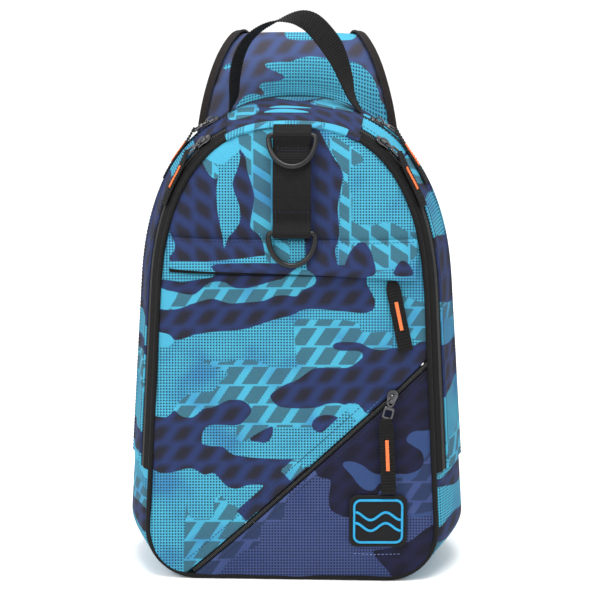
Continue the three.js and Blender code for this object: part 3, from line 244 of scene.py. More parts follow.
def skin_bare(side, u, t):
    u, t = np.broadcast_arrays(np.asarray(u, float), np.asarray(t, float))
    fx, fz = ring_point(FRONT, u)
    bx, bz = ring_point(BACK, u)
    nx, nz = ring_normal(u)
    own = LEFT_BULGE if side < 0 else RIGHT_BULGE
    mean = (LEFT_BULGE + RIGHT_BULGE) / 2
    swell = own + (mean - own) * np.clip((u - WAY_SIDE) / (1 - WAY_SIDE), 0, 1)
    corner = np.clip((u - WAY_FOOT) / (WAY_CORNER - WAY_FOOT), 0, 1)
    share = np.where(u <= WAY_CORNER, corner * corner * (3 - 2 * corner), 1.0)
    arch = TOP_BULGE_SHARE + (1 - TOP_BULGE_SHARE) * np.cos(arch_angle(u)) ** 2
    share = np.where(u > WAY_SIDE, arch, share)
    bulge = swell * (1 - BULGE_TAPER * fz / HEIGHT_FRONT) * share * np.sin(math.pi * t)
    x = fx + (bx - fx) * t + nx * bulge
    z = fz + (bz - fz) * t + np.maximum(nz, 0) * bulge
    y = front_edge_y(fz) + (BACK_Y - front_edge_y(fz)) * t
    return np.stack([side * x, y, z], -1)


def skin_normal(side, u, t):
    step = 2e-3
    u, t = np.broadcast_arrays(np.asarray(u, float), np.asarray(t, float))
    along_u = skin_bare(side, np.minimum(u + step, 1), t) - skin_bare(side, np.maximum(u - step, 0), t)
    along_t = skin_bare(side, u, t + step) - skin_bare(side, u, t - step)
    n = np.cross(along_u, along_t) * -side
    n = np.where((u <= WAY_FOOT)[..., None], np.array([0, 0, -1.0]), n)
    return n / np.maximum(np.linalg.norm(n, axis=-1, keepdims=True), 1e-12)


def skin(side, u, t, lift=0.0):
    """A point of the gusset: share u round the outline, share t from front to back, raised by lift."""
    u, t, lift = np.broadcast_arrays(np.asarray(u, float), np.asarray(t, float), np.asarray(lift, float))
    return skin_bare(side, u, t) + skin_normal(side, u, t) * lift[..., None]


def depth_at(u):
    return BACK_Y - front_edge_y(ring_point(FRONT, u)[1])


def ripple(x, z, wave):
    """The soft unevenness of sewn cloth, from -1 to 1, with bumps about one wave long."""
    k = 2 * math.pi / wave
    return (
        np.sin(k * (0.83 * x + 0.31 * z) + 1.3)
        + np.sin(0.77 * k * (0.97 * z - 0.42 * x) + 0.4)
        + np.sin(1.31 * k * (0.27 * x - 0.61 * z) + 2.1)
    ) / 3


# Meshes: a slab is a closed sheet between two grids of points, the first of them its face; a tube is skinned
# over rings of points, each ring closed on itself.
def set_fields(mesh, fields):
    """Gives each point of a mesh its own numbers or vectors, for the materials to read."""
    for field, values in fields.items():
        values = np.ascontiguousarray(values, np.float32)
        kind, key = ("FLOAT", "value") if values.ndim == 1 else ("FLOAT_VECTOR", "vector")
        mesh.attributes.new(field, kind, "POINT").data.foreach_set(key, values.ravel())


def mesh_object(name, vertices, faces, fields=None, sharp=40):
    mesh = bpy.data.meshes.new(name)
    mesh.from_pydata(np.asarray(vertices).tolist(), [], [list(f) for f in faces])
    set_fields(mesh, fields or {})
    bm = bmesh.new()
    bm.from_mesh(mesh)
    bmesh.ops.remove_doubles(bm, verts=bm.verts, dist=1e-6)
    if bm.calc_volume(signed=True) < 0:
        bmesh.ops.reverse_faces(bm, faces=bm.faces)
    bm.to_mesh(mesh)
    bm.free()
    mesh.shade_smooth()
    mesh.set_sharp_from_angle(angle=math.radians(sharp))
    obj = bpy.data.objects.new(name, mesh)
    scene.collection.objects.link(obj)
    return obj


def slab(name, face, lining, fields=None, sharp=40):
    rows, columns = face.shape[:2]
    count = rows * columns
    index = np.arange(count).reshape(rows, columns)
    quads = np.stack([index[:-1, :-1], index[:-1, 1:], index[1:, 1:], index[1:, :-1]], -1).reshape(-1, 4)
    rim = np.concatenate([index[0, :-1], index[:-1, -1], index[-1, :0:-1], index[:0:-1, 0]])
    after = np.roll(rim, -1)
    rims = np.stack([after, rim, rim + count, after + count], -1)
    faces = np.concatenate([quads, quads[:, ::-1] + count, rims])
    vertices = np.concatenate([face.reshape(-1, 3), lining.reshape(-1, 3)])
    doubled = {k: np.concatenate([v.reshape(count, -1)] * 2).squeeze() for k, v in (fields or {}).items()}
    return mesh_object(name, vertices, faces, doubled, sharp)


def ring_faces(rings, closed):
    """The faces over rings of points, with a cap at each end unless the last ring meets the first."""
    count, around = rings.shape[:2]
    index = np.arange(count * around).reshape(count, around)
    ahead = np.roll(index, -1, 0) if closed else index[1:]
    here = index if closed else index[:-1]
    quads = np.stack([here, np.roll(here, -1, 1), np.roll(ahead, -1, 1), ahead], -1).reshape(-1, 4)
    caps = [] if closed else [list(index[0][::-1]), list(index[-1])]
    return [list(q) for q in quads] + caps


def tube(name, rings, closed=False, fields=None, sharp=40):
    points = rings.shape[0] * rings.shape[1]
    flat = {k: v.reshape(points, -1).squeeze() for k, v in (fields or {}).items()}
    return mesh_object(name, rings.reshape(-1, 3), ring_faces(rings, closed), flat, sharp)


def dress(obj, body, slot, material, *nodes):
    """Gives a finished piece its material and its body, and hides the solids it stands for; the slot is not used."""
    obj.data.materials.clear()
    obj.data.materials.append(material)
    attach(obj, body)
    if nodes:
        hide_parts(*nodes)
    return obj


# The print: camouflage in four kinds of patch. Dotted cyan is the ground; over it lie broken checks, plain
# cyan and large dark shapes. Each patch is a smooth outline on the cloth, drawn in millimetres, and the
# cloth's points carry how far they lie inside each kind of patch. The front's patches are drawn as it is seen.
MM = 1000.0
FRONT_PATCHES = [
    ("dark", [(-116, 262), (-22, 262), (-24, 275), (-28, 281), (-33, 287), (-31, 300), (-30, 312), (-35, 330),
              (-37, 344), (-40, 351), (-48, 372), (-90, 372), (-116, 330)]),
    ("plain", [(-72, 344), (-66, 339), (-60, 335), (-50, 336), (-44, 340), (-41, 350), (-38, 358), (-40, 366),
               (-60, 370), (-80, 352)]),
    ("checks", [(-72, 342), (-70, 335), (-66, 328), (-61, 324), (-58, 327), (-58, 335), (-62, 337)]),
    ("checks", [(-41, 349), (-42, 362), (-30, 372), (-10, 372), (-8, 330), (-13, 286), (-20, 280), (-27, 280),
                (-33, 286), (-31, 300), (-30, 312), (-35, 330), (-37, 342)]),
    ("dots", [(-60, 336), (-58, 329), (-60, 318), (-60, 308), (-59, 297), (-57, 286), (-55, 276), (-53.5, 267),
              (-51, 276), (-45, 283), (-41, 291), (-42, 303), (-46, 314), (-47, 322), (-43, 333), (-41, 345),
              (-48, 342), (-53, 337)]),
    ("dots", [(-116, 298), (-101, 290), (-97, 280), (-93.5, 272), (-94, 266), (-98, 260), (-97, 254),
              (-116, 248)]),
    ("checks", [(-23, 284), (-22, 268), (-18, 256), (-9, 250), (-2, 258), (-2, 272), (-8, 286)]),
    ("dark", [(14, 366), (21, 365), (28, 352), (34, 341), (39, 334), (41, 325), (39, 313), (37, 300), (38, 288),
              (38, 277), (35, 266), (35, 250), (12, 250)]),
    ("checks", [(29, 352), (34, 358), (44, 352), (54, 346), (57, 338), (48, 334), (45, 325), (46, 316), (49, 308),
                (48, 296), (50, 289), (62, 286), (78, 289), (92, 282), (101, 279), (100, 262), (84, 252),
                (62, 248), (40, 248), (38, 266), (39, 290), (38, 302), (40, 312), (42, 325), (38, 336)]),
    ("dark", [(43, 246), (45, 261), (50, 269), (56, 273), (61, 270), (65, 261), (66, 246)]),
    ("dark", [(82, 246), (85, 255), (89, 258), (94, 255), (97, 246)]),
    ("dots", [(-116, 256), (-60, 256), (-60, 247), (-66, 244), (-79, 242), (-88, 240.5), (-97, 243), (-116, 243)]),
    ("dark", [(-116, 243), (-97, 242), (-88, 240.5), (-79, 242), (-66, 244), (-60, 247), (-60, 255), (0, 255),
              (0, 247), (-7, 243), (-16, 241), (-26, 238), (-36, 235.5), (-46, 236), (-53, 240), (-60, 241),
              (-67, 239), (-73, 234), (-80, 230), (-95, 233), (-116, 237)]),
    ("checks", [(-116, 237), (-95, 233), (-80, 230), (-73, 234), (-67, 239), (-60, 241), (-53, 240), (-46, 236),
                (-36, 235.5), (-26, 238), (-16, 241), (-7, 243), (0, 249), (8, 252), (17, 247), (20, 242),
                (17, 237), (9, 234), (4, 229), (-6, 230), (-14, 229), (-22, 225.5), (-36, 224), (-50, 223.5),
                (-64, 227), (-79, 223), (-90, 219), (-101, 218), (-116, 221)]),
    ("plain", [(-116, 238), (-98, 233), (-91, 231), (-95, 224), (-100, 218), (-116, 220)]),
    ("dark", [(-116, 219.5), (-101, 218), (-90, 219), (-79, 223), (-64, 227), (-50, 223.5), (-36, 224),
              (-22, 225.5), (-14, 229), (-6, 230), (4, 229), (9, 234), (17, 237.5), (20, 243), (18, 253),
              (57, 253), (60, 240), (64, 232), (67, 225), (66, 219), (59, 215.5), (44, 216.5), (22, 218.5),
              (9, 218), (0, 213.5), (-14, 210), (-27, 205.5), (-40, 202), (-58, 200.5), (-75, 198.5), (-87, 194.5),
              (-94, 194), (-100, 199), (-116, 200)]),
    ("plain", [(-116, 200), (-101, 199), (-95, 195), (-97, 189), (-116, 188)]),
    ("checks", [(-71, 177), (-55, 176), (-40, 177.5), (-26, 176), (-16, 171.5), (4, 171), (4, 176), (3, 190),
                (3, 209), (20, 210), (44, 209.5), (54, 206), (57, 200), (78, 200), (81, 194), (79, 187), (67, 185),
                (57, 180), (53, 176), (44, 171), (20, 171), (11, 166), (4, 161), (-6, 157), (-15, 151), (-17, 147),
                (-12, 141), (-4, 138.5), (18, 138.5), (29, 142), (42, 142), (50, 140), (44, 131), (36, 129),
                (16, 123), (-14, 123), (-22, 117), (-33, 113), (-43, 112), (-44, 122), (-38, 129), (-32, 137),
                (-37, 144), (-50, 145), (-62, 139), (-71, 138), (-79, 131), (-94, 131), (-94, 138), (-86, 147),
                (-76, 151), (-63, 152), (-58, 159), (-51, 166), (-60, 171)]),
    ("dark", [(33, 188), (35, 191), (43, 192), (55, 191), (63, 187), (72, 185.5), (82, 187), (96, 188), (103, 192),
              (116, 193), (116, 182), (106, 183), (100, 181), (98, 173), (80, 160), (52, 131), (46, 136),
              (40, 142), (29, 142), (18, 138.5), (-4, 138.5), (-12, 141), (-17, 147), (-15, 151), (-6, 157),
              (4, 161), (11, 166), (20, 171), (44, 171), (53, 176), (57, 180), (54, 184.5), (38, 185)]),
    ("dark", [(110, 181), (98, 172), (60, 134), (80, 148), (112, 176)]),
    ("checks", [(84, 228), (96, 227), (104, 224), (116, 220), (116, 194), (103, 193), (97, 195), (91, 199),
                (87, 208)]),
    ("plain", [(43, 141), (51, 141.5), (58, 136), (62, 130), (52, 124), (40, 129)]),
    ("dark", [(16, 125), (20, 131), (28, 133), (36, 131.5), (38, 128), (33, 122), (25, 118.5), (19, 120)]),
    ("dark", [(-15, 123.5), (-16, 115), (-20, 110.5), (-27, 111), (-34, 113), (-29, 117), (-22, 121)]),
    ("dark", [(-126, 131), (-101, 131), (-94, 136.5), (-88, 132), (-79, 131), (-70, 138), (-62, 139.5), (-50, 145),
              (-38, 144), (-32, 137), (-36, 130), (-44, 124.5), (-67, 124), (-72, 111), (-66, 108), (-55, 107),
              (-47, 101), (-32, 98.5), (-10, 97), (3, 97), (14, 93), (6, 80), (-8, 68), (-30, 53), (-28, 61),
              (-22, 69), (-23, 76), (-35, 76), (-44, 73), (-52, 75.5), (-59, 83), (-63, 86), (-70, 84.5),
              (-78, 89), (-86, 89), (-95, 86.5), (-105, 86), (-113, 89.5), (-126, 90)]),
    ("checks", [(-84, 66), (-81, 50), (-63, 50), (-62, 61), (-58, 68), (-50, 61), (-43, 58), (-39, 52), (-28, 49),
                (-56, 20), (-78, 1), (-86, 4)]),
]


def signed_distance(places, outline):
    """How far places lie inside an outline, negative outside."""
    inside = np.zeros(len(places), bool)
    nearest = np.full(len(places), np.inf)
    for a, b in zip(outline, np.roll(outline, -1, 0)):
        along = b - a
        share = np.clip(((places - a) @ along) / max(along @ along, 1e-12), 0, 1)
        nearest = np.minimum(nearest, np.linalg.norm(places - a - share[:, None] * along, axis=1))
        crosses = (a[1] > places[:, 1]) != (b[1] > places[:, 1])
        rise = along[1] if abs(along[1]) > 1e-12 else 1e-12
        inside ^= crosses & (places[:, 0] < a[0] + (places[:, 1] - a[1]) / rise * along[0])
    return np.where(inside, nearest, -nearest)


def bend(a, b, c, d, s):
    """The point at share s of a smooth line from b to c, coming from a and going on to d."""
    return 0.5 * (2 * b + (c - a) * s + (2 * a - 5 * b + 4 * c - d) * s**2 + (3 * b - a - 3 * c + d) * s**3)


def smooth_outline(points, steps=4):
    """A closed curve through given points."""
    p = np.asarray(points, float)
    before, after, later = np.roll(p, 1, 0), np.roll(p, -1, 0), np.roll(p, -2, 0)
    rows = [bend(before, p, after, later, s) for s in np.arange(steps) / steps]
    return np.stack(rows, 1).reshape(-1, 2)


PIXELS_WIDE = 600
FOOT_PIXEL = 579.0
MIDDLE_PIXEL = 291.5
PIXEL_MM_WIDE = 0.80
PIXEL_MM_HIGH = 0.81
SENSOR_MM = 36
REACH = 6.0


def facing_place(points):
    """Where points of the front stand in the flat drawing of its print, in millimetres from its foot's middle."""
    turn = np.array(camera.rotation_quaternion.to_matrix())
    away = (np.asarray(points) - np.array(camera.location)) @ turn
    across = FOCAL_MM / SENSOR_MM * away[..., 0] / -away[..., 2] - SHIFT_RIGHT
    up = FOCAL_MM / SENSOR_MM * away[..., 1] / -away[..., 2] - SHIFT_UP
    x = (PIXELS_WIDE * (0.5 + across) - MIDDLE_PIXEL) * PIXEL_MM_WIDE
    z = (FOOT_PIXEL - PIXELS_WIDE * (0.5 - up)) * PIXEL_MM_HIGH
    return np.stack([x, z], -1)


def print_fields(places, patches):
    """The print's fields at places on the cloth, given in millimetres."""
    shape = places.shape[:-1]
    flat = places.reshape(-1, 2)
    fields = {kind: np.full(len(flat), -REACH) for kind in ("dark", "checks", "plain")}
    for kind, points in patches:
        outline = smooth_outline(points)
        low, high = outline.min(0) - REACH, outline.max(0) + REACH
        near = np.all((flat > low) & (flat < high), axis=1)
        if not near.any():
            continue
        distance = np.full(len(flat), -REACH)
        distance[near] = np.clip(signed_distance(flat[near], outline), -REACH, REACH)
        for other in fields:
            if other == kind:
                fields[other] = np.maximum(fields[other], distance)
            else:
                fields[other] = np.minimum(fields[other], -distance)
    made = {kind: field.reshape(shape) for kind, field in fields.items()}
    made["place"] = np.concatenate([places, np.zeros(shape + (1,))], -1)
    return made


FLAP_EDGE_MM = 252.0


class Tree:
    """A shader tree that is written as sums: each call makes a node and gives its output."""

    def __init__(self, tree):
        self.tree = tree

    def node(self, kind, inputs=(), output=0, **settings):
        made = self.tree.nodes.new(kind)
        for key, value in settings.items():
            setattr(made, key, value)
        pairs = inputs.items() if isinstance(inputs, dict) else enumerate(inputs)
        for key, value in pairs:
            if isinstance(value, bpy.types.NodeSocket):
                self.tree.links.new(value, made.inputs[key])
            elif value is not None:
                made.inputs[key].default_value = value
        return made.outputs[output]

    def math(self, operation, *inputs):
        return self.node("ShaderNodeMath", inputs, operation=operation)

    def smooth(self, value, low, high):
        return self.node(
            "ShaderNodeMapRange", {"Value": value, "From Min": low, "From Max": high},
            interpolation_type="SMOOTHSTEP",
        )

    def blend(self, share, a, b):
        inputs = {0: share, 6: a, 7: b}
        return self.node("ShaderNodeMix", inputs, output=2, data_type="RGBA")

    def wave(self, value):
        """A triangle wave from 0 to 1 with one rise and fall for each unit."""
        return self.math("MULTIPLY", self.math("ABSOLUTE", self.math("SUBTRACT", self.math("FRACT", value), 0.5)), 2)

    def parts(self, vector):
        made = self.tree.nodes.new("ShaderNodeSeparateXYZ")
        self.tree.links.new(vector, made.inputs[0])
        return made.outputs["X"], made.outputs["Y"]

    def place(self):
        """The point's place in the print or the weave, in millimetres."""
        return self.node("ShaderNodeAttribute", output="Vector", attribute_name="place")

    def scaled(self, color, by):
        return self.node("ShaderNodeVectorMath", {0: color, "Scale": by}, operation="SCALE")

    def finish(self, shader, color, height=None, strength=0.0, depth=0.0):
        """Gives a shader its colour and, from a height, its bump."""
        self.tree.links.new(color, shader.inputs["Base Color"])
        if height is not None:
            inputs = {"Strength": strength, "Distance": depth, "Height": height}
            self.tree.links.new(self.node("ShaderNodeBump", inputs, output="Normal"), shader.inputs["Normal"])

    def group(self, tree, output, **inputs):
        made = self.tree.nodes.new("ShaderNodeGroup")
        made.node_tree = tree
        for key, value in inputs.items():
            socket = made.inputs[key.replace("_", " ").title()]
            if isinstance(value, bpy.types.NodeSocket):
                self.tree.links.new(value, socket)
            else:
                socket.default_value = value
        return made.outputs[output]


def effect(name, inputs, outputs):
    """A new shader node group: its tree, its inputs by name, and its output node."""
    tree = bpy.data.node_groups.new(name, "ShaderNodeTree")
    for label, kind, value in inputs:
        socket = tree.interface.new_socket(label, in_out="INPUT", socket_type=kind)
        if value is not None:
            socket.default_value = value
    for label, kind in outputs:
        tree.interface.new_socket(label, in_out="OUTPUT", socket_type=kind)
    given = tree.nodes.new("NodeGroupInput")
    out = tree.nodes.new("NodeGroupOutput")
    return Tree(tree), given.outputs, out.inputs


FLOAT, VECTOR = "NodeSocketFloat", "NodeSocketVector"
CHECK_STEP = 2.1


def make_checks():
    """Broken checks: leaning blocks with finely stepped edges in even rows. Above the front pocket the print is
    turned by a quarter."""
    t, given, out = effect(
        "broken_checks",
        [("Place", VECTOR, None), ("Wide", FLOAT, 19.3), ("High", FLOAT, 15.7), ("Lean", FLOAT, 0.55),
         ("Fill", FLOAT, 0.33), ("Soft", FLOAT, 0.35)],
        [("Mask", FLOAT)],
    )
    across, along = t.parts(given["Place"])
    turned = t.math("GREATER_THAN", along, FLAP_EDGE_MM)
    kept = t.math("SUBTRACT", 1, turned)
    minus = t.math("MULTIPLY", along, -1)
    x = t.math("ADD", t.math("MULTIPLY", across, kept), t.math("MULTIPLY", minus, turned))
    y = t.math("ADD", t.math("MULTIPLY", along, kept), t.math("MULTIPLY", across, turned))
    up = t.math("SUBTRACT", t.math("FRACT", t.math("DIVIDE", y, given["High"])), 0.5)
    up = t.math("MULTIPLY", up, given["High"])
    stepped = t.math("MULTIPLY", t.math("ROUND", t.math("DIVIDE", up, CHECK_STEP)), CHECK_STEP)
    saw = t.math("MULTIPLY_ADD", up, 1.5, t.math("MULTIPLY", stepped, -0.95))
    shift = t.math("MULTIPLY", t.math("ADD", stepped, t.math("MULTIPLY", saw, 0.4)), given["Lean"])
    leaning = t.math("SUBTRACT", x, shift)
    over = t.math("SUBTRACT", t.math("FRACT", t.math("DIVIDE", leaning, given["Wide"])), 0.5)
    over = t.math("MULTIPLY", over, given["Wide"])
    low = t.math("MULTIPLY", given["Soft"], -1)
    masks = []
    for value, size, share in ((over, given["Wide"], 1.0), (up, given["High"], 1.36)):
        half = t.math("MULTIPLY", t.math("MULTIPLY", size, given["Fill"]), share)
        gap = t.math("SUBTRACT", half, t.math("ABSOLUTE", value))
        masks.append(t.smooth(gap, low, given["Soft"]))
    t.tree.links.new(t.math("MULTIPLY", *masks), out["Mask"])
    return t.tree


def make_dots():
    """A square net of small dots."""
    t, given, out = effect(
        "net_of_dots", [("Place", VECTOR, None), ("Pitch", FLOAT, 2.35), ("Size", FLOAT, 0.66)], [("Mask", FLOAT)]
    )
    u, v = (t.wave(t.math("DIVIDE", part, given["Pitch"])) for part in t.parts(given["Place"]))
    far = t.math("SQRT", t.math("ADD", t.math("MULTIPLY", u, u), t.math("MULTIPLY", v, v)))
    inner = t.math("SUBTRACT", given["Size"], 0.15)
    outer = t.math("ADD", given["Size"], 0.15)
    t.tree.links.new(t.math("SUBTRACT", 1, t.smooth(far, inner, outer)), out["Mask"])
    return t.tree


def make_weave():
    """A plain weave: crossing threads, each over one and under one, as a height from 0 to 1."""
    t, given, out = effect("plain_weave", [("Place", VECTOR, None), ("Pitch", FLOAT, 0.7)], [("Height", FLOAT)])
    sines = [
        t.math("SINE", t.math("MULTIPLY", t.math("DIVIDE", part, given["Pitch"]), math.pi))
        for part in t.parts(given["Place"])
    ]
    over = t.math("MULTIPLY", *sines)
    t.tree.links.new(t.math("MULTIPLY_ADD", over, 0.5, 0.5), out["Height"])
    return t.tree


CHECKS, DOTS, WEAVE = make_checks(), make_dots(), make_weave()


def new_material(name, roughness, metallic=0.0, specular=0.3):
    material = bpy.data.materials.new(name)
    material.use_nodes = True
    shader = material.node_tree.nodes["Principled BSDF"]
    shader.inputs["Roughness"].default_value = roughness
    shader.inputs["Metallic"].default_value = metallic
    shader.inputs["Specular IOR Level"].default_value = specular
    return material, Tree(material.node_tree), shader


def printed_cloth(name, ground, deep, dot, check, dark, shade, plain):
    """Printed polyester: the four kinds of patch, their fine hatch, and the weave, in bump and in painted light and
    shade.
    """
    material, t, shader = new_material(name, 0.85, specular=0.12)
    place = t.place()
    field = {
        kind: t.smooth(t.node("ShaderNodeAttribute", output="Fac", attribute_name=kind), -0.35, 0.35)
        for kind in ("dark", "checks", "plain")
    }
    cloud = t.node("ShaderNodeTexNoise", {"Vector": place, "Scale": 0.022, "Detail": 2.0})
    ink = t.blend(t.smooth(cloud, 0.45, 0.72), ground, deep)
    dots = t.group(DOTS, "Mask", place=place)
    dotted = t.blend(t.math("MULTIPLY", dots, 0.92), ink, dot)
    mask = t.group(CHECKS, "Mask", place=place)
    slant = t.math("DIVIDE", t.math("ADD", *t.parts(place)), 1.7)
    hatch = t.smooth(t.wave(slant), 0.3, 0.7)
    hatched = t.blend(t.math("MULTIPLY", hatch, 0.28), check, ink)
    checked = t.blend(mask, ink, hatched)
    soft = t.group(CHECKS, "Mask", place=place, soft=3.6, fill=0.29)
    shadowed = t.blend(soft, dark, shade)
    color = t.blend(field["checks"], dotted, checked)
    color = t.blend(field["plain"], color, plain)
    color = t.blend(field["dark"], color, shadowed)
    # The weave and a fine noise also shade the colour: painted shade between the threads, painted highlights and glints
    # on their tops.
    weave = t.group(WEAVE, "Height", place=place)
    mottle_and_glints = t.node("ShaderNodeTexNoise", {"Vector": place, "Scale": 0.9, "Detail": 3.0})
    tone = t.math("MULTIPLY_ADD", mottle_and_glints, 0.45, t.math("MULTIPLY_ADD", weave, 0.36, 0.60))
    t.finish(shader, t.scaled(color, tone), weave, 0.5, 0.0002)
    shader.inputs["Sheen Weight"].default_value = 0.02
    return material


CAMO = printed_cloth(
    "camo_cloth",
    ground=(0.050, 0.290, 0.415, 1), deep=(0.035, 0.170, 0.330, 1), dot=(0.010, 0.030, 0.048, 1),
    check=(0.030, 0.078, 0.105, 1), dark=(0.017, 0.028, 0.088, 1), shade=(0.0145, 0.0145, 0.023, 1),
    plain=(0.050, 0.290, 0.420, 1),
)
NIGHT = printed_cloth(
    "dark_print_cloth",
    ground=(0.040, 0.058, 0.150, 1), deep=(0.032, 0.050, 0.140, 1), dot=(0.008, 0.010, 0.026, 1),
    check=(0.016, 0.026, 0.062, 1), dark=(0.010, 0.011, 0.032, 1), shade=(0.008, 0.008, 0.017, 1),
    plain=(0.026, 0.050, 0.135, 1),
)

# The front cloth: one printed cloth from the lower welt to the arch, cut away along the slanting zip of the
# corner pocket and sunk where the flapped pocket's zip is sewn in. Its edges are turned under and sewn.
WELT_RADIUS = 0.0026
PANEL_INSET = 0.0030
ZIP_LOW = 0.2520
ZIP_HIGH = 0.2674
ZIP_HALF_RUN = 0.098
ZIP_SINK = 0.0028
FLAP_SEAM = 0.279
SLANT_FOOT = (-0.080, 0.006)
SLANT = math.radians(42.8)
SLANT_SLIT = 0.0026
LIP = 0.0016


def slant_x(z, off=0.0):
    """x of the slanting zip's line at a height, off to its upper left by so much."""
    run = (z - SLANT_FOOT[1] - off * math.cos(SLANT)) / math.sin(SLANT)
    return SLANT_FOOT[0] + run * math.cos(SLANT) - off * math.sin(SLANT)


def slant_off(x, z):
    return (z - SLANT_FOOT[1]) * math.cos(SLANT) - (x - SLANT_FOOT[0]) * math.sin(SLANT)


def turned_edge(distance, lip=LIP):
    """The rounding of a turned edge: down by one lip at the edge, level a lip and a half in."""
    share = np.clip(distance / (lip * 1.6), 0, 1)
    return -lip * (1 - np.sqrt(1 - (1 - share) ** 2))


def front_lift(x, z):
    """How the sewn front rises and dips: soft dents, and pulled in along its seams."""
    inside = np.minimum(np.abs(x) - ZIP_HALF_RUN, 0)
    sink = np.clip(np.minimum(z - ZIP_LOW, ZIP_HIGH - z) / 0.0015 + 0.5, 0, 1) * np.clip(-inside / 0.002, 0, 1)
    seam = 0.0007 * np.exp(-((z - FLAP_SEAM - 0.001) / 0.003) ** 2)
    welt = 0.0012 * np.exp(-(half_width_at(z) - np.abs(x) - 0.005) / 0.004)
    soft = 0.0008 * ripple(x, z, 0.062) + 0.0004 * ripple(z, x, 0.027)
    return soft - ZIP_SINK * sink - seam - np.minimum(welt, 0.002)


def inset_edge(u, inset):
    x, z = ring_point(FRONT, u)
    nx, nz = ring_normal(u)
    return x - nx * inset, z - nz * inset


def front_cloth(name, rows, left, right, patches, lift_at, columns=140):
    """A slab of the front between a left and a right edge given for each height."""
    even = np.linspace(0, 1, columns)
    share = 0.6 * even + 0.4 * (0.5 - 0.5 * np.cos(math.pi * even))
    z = rows[:, None] + 0 * share
    x = left[:, None] + (right - left)[:, None] * share
    lift = lift_at(x, z)
    face = front(x, z, lift)
    return slab(name, face, front(x, z, lift - CLOTH), print_fields(facing_place(face), patches))


def facing(start, end):
    """A stretch of the facing sewn along the slanting slit, in millimetres along it."""
    corners = []
    for along, off in ((start, 0.0), (end, 0.0), (end, 11.5), (start, 11.5)):
        x = SLANT_FOOT[0] * MM + along * math.cos(SLANT) - off * math.sin(SLANT)
        z = SLANT_FOOT[1] * MM + along * math.sin(SLANT) + off * math.cos(SLANT)
        corners.append((x, z))
    a, b, c, d = corners
    return [(p[0] + (q[0] - p[0]) * k / 4, p[1] + (q[1] - p[1]) * k / 4)
            for p, q in ((a, b), (b, c), (c, d), (d, a)) for k in range(4)]


FACING_PATCHES = [
    ("dark", facing(60, 108)), ("checks", facing(108, 123)), ("dots", facing(123, 184)), ("plain", facing(180, 190)),
    ("dark", facing(190, 262)),
]
way = np.linspace(WAY_FOOT * 0.999, 1, 236)
edge_x, edge_z = inset_edge(way, PANEL_INSET)
edge_z = np.maximum.accumulate(edge_z + np.arange(len(way)) * 1e-7)
cut = slant_x(edge_z, SLANT_SLIT)
main_front = front_cloth(
    "front_cloth", edge_z, -edge_x, np.minimum(edge_x, np.maximum(cut, -edge_x)), FRONT_PATCHES + FACING_PATCHES,
    lambda x, z: front_lift(x, z) + turned_edge(np.maximum(slant_off(x, z) - SLANT_SLIT, 0)),
)
dress(main_front, "bag", "camo_cloth", CAMO, "front_panel_upper", "front_panel_lower")

# The corner pocket: a darker print of the same cloth below the slanting zip, with a turned upper edge.
POCKET_PATCHES = [
    ("checks", [(-82, 2), (-60, 3), (-52, 12), (-40, 22), (-26, 28), (-24, 44), (-8, 48), (-4, 64), (0, 74), (12, 80),
                (22, 84), (32, 92), (30, 112), (-60, 34)]),
    ("dark", [(20, 86), (24, 82), (31, 80), (30, 67), (31, 57), (38, 52), (48, 50), (60, 55), (70, 70), (80, 84),
              (92, 85), (101, 88), (106, 94), (104, 103), (97, 108), (92, 112), (95, 118), (104, 120), (122, 115),
              (122, 190), (100, 190), (20, 108)]),
    ("plain", [(41, 92), (43, 95), (49, 95), (57, 92), (62, 88), (68, 85), (80, 84), (92, 85), (101, 88), (106, 94),
               (104, 103), (97, 108), (92, 112), (95, 118), (104, 120), (122, 115), (122, 60), (110, 52), (92, 52),
               (90, 76), (72, 78), (66, 72), (60, 72), (54, 76), (48, 84)]),
    ("checks", [(84, 82), (96, 80), (104, 90), (108, 100), (116, 104), (122, 90), (122, 62), (108, 54), (92, 54),
                (84, 66)]),
    ("dark", [(65, 22), (74, 24), (84, 27), (95, 31), (103, 37), (110, 42), (124, 46), (124, 0), (86, 0), (76, 8)]),
]
top_row = np.argmax(slant_x(edge_z, -SLANT_SLIT) > edge_x)
rows = edge_z[: top_row + 1]
pocket = front_cloth(
    "corner_pocket", rows, np.minimum(slant_x(rows, -SLANT_SLIT), edge_x[: top_row + 1]), edge_x[: top_row + 1],
    POCKET_PATCHES,
    lambda x, z: front_lift(x, z) + turned_edge(np.maximum(-slant_off(x, z) - SLANT_SLIT, 0)), columns=120,
)
dress(pocket, "bag", "dark_print_cloth", NIGHT, "corner_pocket_panel")

# The storm flap: a strip of the same cloth over the pocket's zip, sewn along its upper edge and free below,
# where it stands a little off the front. Its lower edge is a fold that slopes down to the right.
FLAP_THICK = 0.0014
FLAP_TOP = FLAP_SEAM + 0.0015
FLAP_LIFT_SEAM = 0.0006
FLAP_LIFT_EDGE = 0.0042


def flap_foot(x):
    """The flap's lower edge."""
    share = (x + ZIP_HALF_RUN) / (2 * ZIP_HALF_RUN)
    return 0.2562 - 0.0034 * share - 0.0050 * share**4


def flap_hang(x, z, down):
    """How far the flap's lining hangs off the front, by the share of the way down from its seam."""
    end = np.clip((ZIP_HALF_RUN - np.abs(x)) / 0.01, 0, 1)
    hang = FLAP_LIFT_SEAM + (FLAP_LIFT_EDGE - FLAP_LIFT_SEAM) * np.sin(down * math.pi / 2) * (0.35 + 0.65 * end)
    return hang + 0.0005 * ripple(x, z, 0.05) * down


def flap_roll(down):
    """The flap's thickness, less at its folded lower edge."""
    return FLAP_THICK + turned_edge((1 - down) * 0.026, 0.0009)


